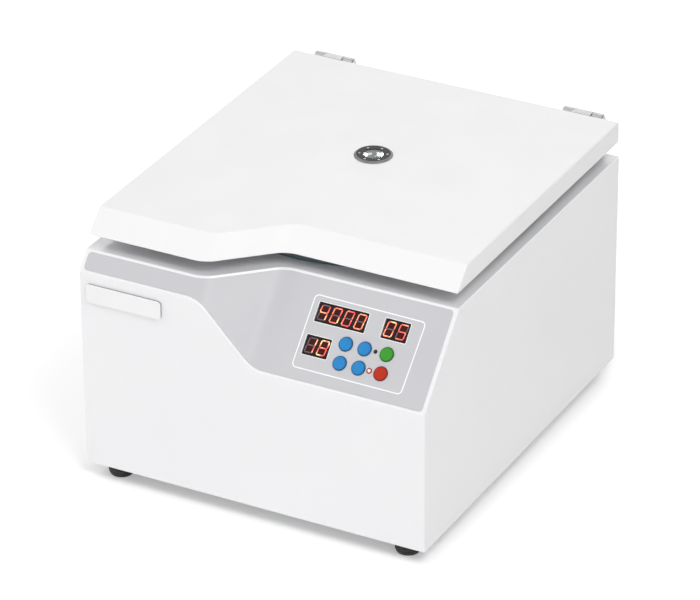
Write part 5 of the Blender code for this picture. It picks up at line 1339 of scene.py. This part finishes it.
for name, degrees in turns.items():
    shapes = [placed(shape, bucketPlace(degrees)) for shape in bucketShapes]
    piece("bucket_" + name + "_cup", shapes, bucketMetal, "bucket_" + name, ["bucket_" + name])
print("rotor and buckets made")


# Rear panel: folded steel with obround air slots, openings for the inlet and the switch, and its screws
panelLow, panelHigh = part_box("rear_panel")
panel = {
    "edge": 0.0005, "corner": 0.001, "vents": 12, "pitch": 0.009, "ventStart": 0.060, "ventZ": 0.077,
    "ventHalf": (0.002, 0.023), "openingCorner": 0.0006,
    "openings": (((-0.110, 0.075), (0.0138, 0.0173)), ((-0.065, 0.075), (0.0078, 0.0118))),
    "screws": ((-0.169, 0.030), (-0.169, 0.125), (-0.06, 0.2265), (0.06, 0.2265), (0.169, 0.125),
               (0.169, 0.030)),
    "screwRadius": 0.0032, "screwHeight": 0.0018, "screwTurn": 31, "hingeScrewX": 0.006,
    "hingeScrewZ": 0.1955, "hingeScrewTurn": 90,
}


# Frame that looks out of the casing's back: its X points to the left seen from the front.
def outwards(x, y, z):
    return axes((x, y, z), (-1, 0, 0), (0, 0, 1), (0, 1, 0))


# Cutter for an air slot about a centre: its shorter half, a hair less, is the rounding of its ends.
def airSlot(half, middle, low, high):
    return slab(rectangleCorners(*half, middle), min(half) * 0.995, [(0, low), (0, high)], 8)


outside = outwards(0, panelHigh.y, 0)
openings = []
for (x, z), half in panel["openings"]:
    openings.append(slab(rectangleCorners(*half, (-x, z)), panel["openingCorner"],
                         [(0, -overrun), (0, overrun)]))
for index in range(panel["vents"]):
    x = panel["ventStart"] + index * panel["pitch"]
    openings.append(airSlot(panel["ventHalf"], (-x, panel["ventZ"]), -overrun, overrun))
panelMiddle = (0, (panelLow.z + panelHigh.z) / 2)
panelCorners = rectangleCorners(panelHigh.x, (panelHigh.z - panelLow.z) / 2, panelMiddle)
panelLevels = softEdge(panelLow.y - panelHigh.y, 0, panel["edge"])
plate = buildMesh("rearPlate", [placed(slab(panelCorners, panel["corner"], panelLevels), outside)])
plate = cut(plate, [placed(opening, outside) for opening in openings])
piece("rear_panel_plate", plate, powderCoat, "casing", ["rear_panel"])
panelScrew = screwHead(panel["screwRadius"], panel["screwHeight"])
screws = []
for x, z in panel["screws"]:
    spin = Matrix.Rotation(x * panel["screwTurn"], 4, "Z")
    screws.append(placed(panelScrew, outside @ at(-x, z, 0) @ spin))
for name in ("hinge_left_bracket", "hinge_right_bracket"):
    bracketLow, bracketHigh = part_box(name)
    across = (bracketLow.x + bracketHigh.x) / 2
    front = outwards(0, bracketLow.y + hinge["plateThickness"], 0)
    for step in (-panel["hingeScrewX"], panel["hingeScrewX"]):
        spin = Matrix.Rotation(step * panel["hingeScrewTurn"], 4, "Z")
        screws.append(placed(panelScrew, front @ at(-across + step, panel["hingeScrewZ"], 0) @ spin))
piece("rear_screws", screws, zincSteel, "casing")

# Base plate: obround air slots in two rows, and screws up into the casing
baseLow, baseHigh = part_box("base_plate")
base = {
    "edge": 0.0004, "corner": 0.001, "ventX": 0.105, "vents": 6, "pitch": 0.009, "ventHalf": (0.023, 0.002),
    "screwX": 0.168, "screwY": (-0.150, 0.0, 0.140),
}
baseCorners = rectangleCorners(baseHigh.x, (baseHigh.y - baseLow.y) / 2, (0, (baseHigh.y + baseLow.y) / 2))
baseLevels = softEdge(baseLow.z, baseHigh.z, base["edge"])
plate = buildMesh("basePlate", [slab(baseCorners, base["corner"], baseLevels)])
openings = []
for side in (-1, 1):
    for index in range(base["vents"]):
        y = chamberY + (index - (base["vents"] - 1) / 2) * base["pitch"]
        openings.append(airSlot(base["ventHalf"], (side * base["ventX"], y), baseLow.z - overrun,
                                baseHigh.z + overrun))
piece("base_plate_sheet", cut(plate, openings), powderCoat, "casing", ["base_plate"])
screws = [placed(panelScrew, at(side * base["screwX"], y, baseLow.z) @ upsideDown)
          for y in base["screwY"] for side in (-1, 1)]
piece("base_screws", screws, zincSteel, "casing")

# Mains inlet: flanged body with a six-sided socket, three prongs and the pocket of the fuse drawer
inletLow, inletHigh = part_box("mains_inlet")
mains = {
    "flange": 0.0025, "flangeEdge": 0.0008, "inset": 0.002, "corner": 0.003, "worn": 0.0002,
    "socket": ((-0.01225, -0.00825), (0.01225, -0.00825), (0.01225, 0.0035), (0.0078, 0.00825),
               (-0.0078, 0.00825), (-0.01225, 0.0035)),
    "socketCorner": 0.0012, "socketRise": 0.0075, "socketDepth": 0.020,
    "prongs": ((-0.007, -0.002), (0, 0.002), (0.007, -0.002)), "prongHalf": (0.001, 0.002),
    "prongLength": 0.014, "prongSeat": 0.0005, "prongEdge": 0.0005, "prongCorner": 0.0004,
}
fuse = {
    "drop": 0.0115, "half": (0.011, 0.00375), "corner": 0.0005, "length": 0.018, "pocketCorner": 0.0004,
    "rim": 0.001, "face": (0.0003, 0.0018), "faceCorner": 0.0012, "faceEdge": 0.0005, "overlap": 0.0002,
    "grip": (0.0045, 0.0011), "gripDrop": 0.0015, "gripCorner": 0.001, "gripDepth": 0.0009,
}
inletFrame = outwards((inletLow.x + inletHigh.x) / 2, inletHigh.y, (inletLow.z + inletHigh.z) / 2)
inletCorners = rectangleCorners((inletHigh.x - inletLow.x) / 2, (inletHigh.z - inletLow.z) / 2)
inletLevels = [(mains["inset"], inletLow.y - inletHigh.y), (mains["inset"], -mains["flange"])]
inletLevels += roundTop(-mains["flange"], 0, mains["flangeEdge"])
socketFloor = -mains["socketDepth"]
socket = slab(np.array(mains["socket"]) + (0, mains["socketRise"]), mains["socketCorner"],
              [(0, socketFloor), (0, overrun)])
pocketHalf = [half + clearance for half in fuse["half"]]
pocket = slab(rectangleCorners(*pocketHalf, (0, -fuse["drop"])), fuse["pocketCorner"],
              [(0, -fuse["length"] - clearance), (0, overrun)])
inletBody = buildMesh("inletBody", [placed(slab(inletCorners, mains["corner"], inletLevels), inletFrame)])
inletBody = cut(inletBody, [placed(cutter, inletFrame) for cutter in (socket, pocket)])
made = piece("mains_inlet_body", inletBody, blackPlastic, "casing", ["mains_inlet"])
softened(made, mains["worn"])
prongs = []
halfX, halfY = mains["prongHalf"]
for x, rise in mains["prongs"]:
    y = mains["socketRise"] + rise
    prong = block((x - halfX, y - halfY, socketFloor - mains["prongSeat"]),
                  (x + halfX, y + halfY, socketFloor + mains["prongLength"]),
                  mains["prongEdge"], mains["prongCorner"])
    prongs.append(placed(prong, inletFrame))
piece("mains_prongs", prongs, zincSteel, "casing")

drawerCorners = rectangleCorners(*fuse["half"], (0, -fuse["drop"]))
drawer = [
    slab(drawerCorners, fuse["corner"], [(0, -fuse["length"]), (0, fuse["face"][0] + fuse["overlap"])]),
    slab(insetCorners(drawerCorners, -fuse["rim"]), fuse["faceCorner"],
         roundTop(*fuse["face"], fuse["faceEdge"])),
]
drawer = buildMesh("drawer", [placed(shape, inletFrame) for shape in drawer])
grip = slab(rectangleCorners(*fuse["grip"], (0, -fuse["drop"] - fuse["gripDrop"])), fuse["gripCorner"],
            [(0, fuse["face"][1] - fuse["gripDepth"]), (0, overrun)])
piece("fuse_drawer_moulding", cut(drawer, [placed(grip, inletFrame)]), blackPlastic, "fuse_drawer",
      ["fuse_drawer"])

# Power switch: a flanged frame, and a rocker with a dished face that carries a bar and a ring
frameLow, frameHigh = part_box("switch_frame")
switch = {
    "flange": 0.002, "flangeEdge": 0.0007, "corner": 0.0015, "worn": 0.0002, "wellCorner": 0.0004,
    "axisDepth": 0.0035, "reach": 0.0095, "run": 0.0005, "half": 0.00625, "face": 0.0042, "dishShare": 0.55,
    "tilt": 10, "rockerWorn": 0.0005, "mark": 0.00008, "markDepth": 0.0002, "bar": (0.00035, 0.0019),
    "barCorner": 0.0003, "ring": 0.0017, "ringWidth": 0.0005,
}
switchX = (frameLow.x + frameHigh.x) / 2
switchZ = (frameLow.z + frameHigh.z) / 2
switchFrame = outwards(switchX, frameHigh.y, switchZ)
frameCorners = rectangleCorners((frameHigh.x - frameLow.x) / 2, (frameHigh.z - frameLow.z) / 2)
frameLevels = [(switch["flange"], frameLow.y - frameHigh.y), (switch["flange"], -switch["flange"])]
frameLevels += roundTop(-switch["flange"], 0, switch["flangeEdge"])
wellHalf = (switch["half"] + switch["run"], switch["reach"] + switch["run"])
well = slab(rectangleCorners(*wellHalf), switch["wellCorner"],
            [(0, -switch["axisDepth"] - wellHalf[1]), (0, overrun)])
frameBody = buildMesh("switchFrame", [placed(slab(frameCorners, switch["corner"], frameLevels), switchFrame)])
frameBody = cut(frameBody, [placed(well, switchFrame)])
made = piece("switch_frame_moulding", frameBody, blackPlastic, "casing", ["switch_frame"])
softened(made, switch["worn"])

# The rocker's outline lies in depth and height, from its axis: an arc behind, two flats that meet in a dish
swing = math.degrees(math.asin(switch["face"] / switch["reach"]))
dish = switch["face"] * switch["dishShare"]
rockerOutline = arcPoints((0, 0), switch["reach"], 90 - swing, 270 + swing, 32) + [(dish, 0)]
tilt = Matrix.Rotation(math.radians(-switch["tilt"]), 4, "X")
rockerAxis = at(switchX, frameHigh.y - switch["axisDepth"], switchZ) @ tilt
acrossX = axes((0, 0, 0), (0, 1, 0), (0, 0, 1), (1, 0, 0))
rockerBody = placed(extruded(rockerOutline, -switch["half"], switch["half"]), rockerAxis @ acrossX)
made = piece("power_rocker_cap", [rockerBody], blackPlastic, "power_rocker",
             ["power_rocker"])
softened(made, switch["rockerWorn"], 50, 3)
edgeHeight = switch["reach"] * math.cos(math.radians(swing))
lean = math.atan2(switch["face"] - dish, edgeHeight)
ringInner = switch["ring"] - switch["ringWidth"]
low = -switch["markDepth"]
high = switch["mark"]
bar = slab(rectangleCorners(*switch["bar"]), switch["barCorner"], [(0, low), (0, high)])
ring = turned([(switch["ring"], low), (switch["ring"], high), (ringInner, high), (ringInner, low)], 40,
              wrap=True)
marks = []
for side, mark in ((1, bar), (-1, ring)):
    flat = axes((0, (switch["face"] + dish) / 2, side * edgeHeight / 2), (-1, 0, 0),
                (0, math.sin(lean) * side, math.cos(lean)), (0, math.cos(lean), -math.sin(lean) * side))
    marks.append(placed(mark, rockerAxis @ flat))
piece("power_rocker_marks", marks, whiteInk, "power_rocker")
print("rear panel made")


# Nodes kept as the frame has them, under the finish that they get
carried = (
    (powderCoat, ("motor_plate", "motor_armature")),
    (zincSteel, ("lock_body", "lid_hook", "lock_bolt", "motor_shaft", "upper_bearing", "lower_bearing")),
    (castAluminium, ("motor_housing", "motor_cap")),
    (copperWire, ("motor_stator", "lock_solenoid")),
    (footRubber, ("vibration_mount_rear", "vibration_mount_left", "vibration_mount_right")),
    (boardMask, ("power_board", "control_board")),
)
for finish, names in carried:
    for name in names:
        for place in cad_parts[name].material_slots:
            place.material = finish
print("carried-over nodes finished")


# Room: pale floor, white surround, soft lamps, the camera of the photo
stage = {
    "floor": "#f7f7f7", "floorHalf": 6, "floorGlow": 0.26, "farGlow": 1.0, "near": 1.1, "far": 2.6,
    "surround": 0.366,
}
white = (1, 1, 1, 1)


# The camera, polished metal and glass see the first number; everything else is lit by the second.
def seenAndLit(tree, seenLevel, litLevel):
    ray = addNode(tree, "LightPath")
    mirrored = addNode(tree, "Math", {"operation": "MAXIMUM"},
                       {0: ray.outputs["Is Glossy Ray"], 1: ray.outputs["Is Transmission Ray"]})
    seen = addNode(tree, "Math", {"operation": "MAXIMUM"},
                   {0: ray.outputs["Is Camera Ray"], 1: mirrored.outputs["Value"]})
    level = addNode(tree, "MapRange", {"To Min": litLevel, "To Max": seenLevel},
                    {"Value": seen.outputs["Value"]})
    return level.outputs["Result"]


floorMesh = bpy.data.meshes.new("floor")
floorCorners = [(*corner, 0) for corner in rectangleCorners(stage["floorHalf"], stage["floorHalf"])]
floorMesh.from_pydata(floorCorners, [], [(0, 1, 2, 3)])
floorMaterial, floorTree, floorShader = newMaterial("studio_floor", Roughness=0.7)
floorShader.inputs["Base Color"].default_value = linear(stage["floor"])
floorShader.inputs["Emission Color"].default_value = white
floorPlace = addNode(floorTree, "TexCoord").outputs["Object"]
floorReach = addNode(floorTree, "VectorMath", {"operation": "LENGTH"}, {0: floorPlace}).outputs["Value"]
glow = addNode(floorTree, "MapRange", {"From Min": stage["near"], "From Max": stage["far"],
                                       "To Min": stage["floorGlow"], "To Max": stage["farGlow"]},
               {"Value": floorReach}).outputs["Result"]
seenGlow = addNode(floorTree, "Math", {"operation": "MULTIPLY"}, {0: glow, 1: seenAndLit(floorTree, 1, 0)})
floorTree.links.new(seenGlow.outputs["Value"], floorShader.inputs["Emission Strength"])
floorMesh.materials.append(floorMaterial)
floor = bpy.data.objects.new("floor", floorMesh)
bpy.context.scene.collection.objects.link(floor)

world = bpy.data.worlds.new("studio")
bpy.context.scene.world = world
world.use_nodes = True
backdrop = world.node_tree.nodes["Background"]
backdrop.inputs["Color"].default_value = white
world.node_tree.links.new(seenAndLit(world.node_tree, 1, stage["surround"]), backdrop.inputs["Strength"])

# Softboxes: place, what it points at, width and height in metres, and watts
lamps = {
    "keyBox": ((1.3, -0.9, 2.1), (0, 0, 0.15), (1.3, 1.3), 28),
    "lowBox": ((-0.4, -3.0, 0.5), (0, 0, 0.15), (1.6, 1.0), 19.4),
    "leftBox": ((-2.0, -0.8, 1.8), (0, 0, 0.15), (1.4, 1.4), 15),
    "backBox": ((0.3, 1.9, 2.0), (0, 0, 0.15), (1.4, 1.4), 8),
    "stripOne": ((-0.84, 2.04, 1.44), (0, 0.03, 0.26), (0.22, 0.42), 2.6),
    "stripTwo": ((-1.24, 1.83, 1.44), (0, 0.03, 0.26), (0.22, 0.42), 2.6),
}
for name, (place, aim, size, watts) in lamps.items():
    light = bpy.data.lights.new(name, "AREA")
    light.shape = "RECTANGLE"
    light.size, light.size_y = size
    light.energy = watts
    made = bpy.data.objects.new(name, light)
    made.location = place
    made.rotation_euler = (Vector(aim) - Vector(place)).to_track_quat("-Z", "Y").to_euler()
    bpy.context.scene.collection.objects.link(made)

view = {
    "place": (1.7706, -3.3417, 2.1963), "azimuth": 28.034, "elevation": 28.641, "roll": -0.358,
    "lens": 231.7, "sensor": 36.0,
}
azimuth, elevation, roll = (math.radians(view[key]) for key in ("azimuth", "elevation", "roll"))
back = Vector((math.sin(azimuth) * math.cos(elevation), -math.cos(azimuth) * math.cos(elevation),
               math.sin(elevation)))
right = Vector((math.cos(azimuth), math.sin(azimuth), 0))
up = back.cross(right)
rolledRight = right * math.cos(roll) + up * math.sin(roll)
rolledUp = up * math.cos(roll) - right * math.sin(roll)
cameraData = bpy.data.cameras.new("camera")
cameraData.lens = view["lens"]
cameraData.sensor_width = view["sensor"]
camera = bpy.data.objects.new("camera", cameraData)
camera.matrix_world = axes(view["place"], rolledRight, rolledUp, back)
bpy.context.scene.collection.objects.link(camera)
bpy.context.scene.camera = camera
bpy.context.scene.view_settings.view_transform = "Standard"
print("room made")
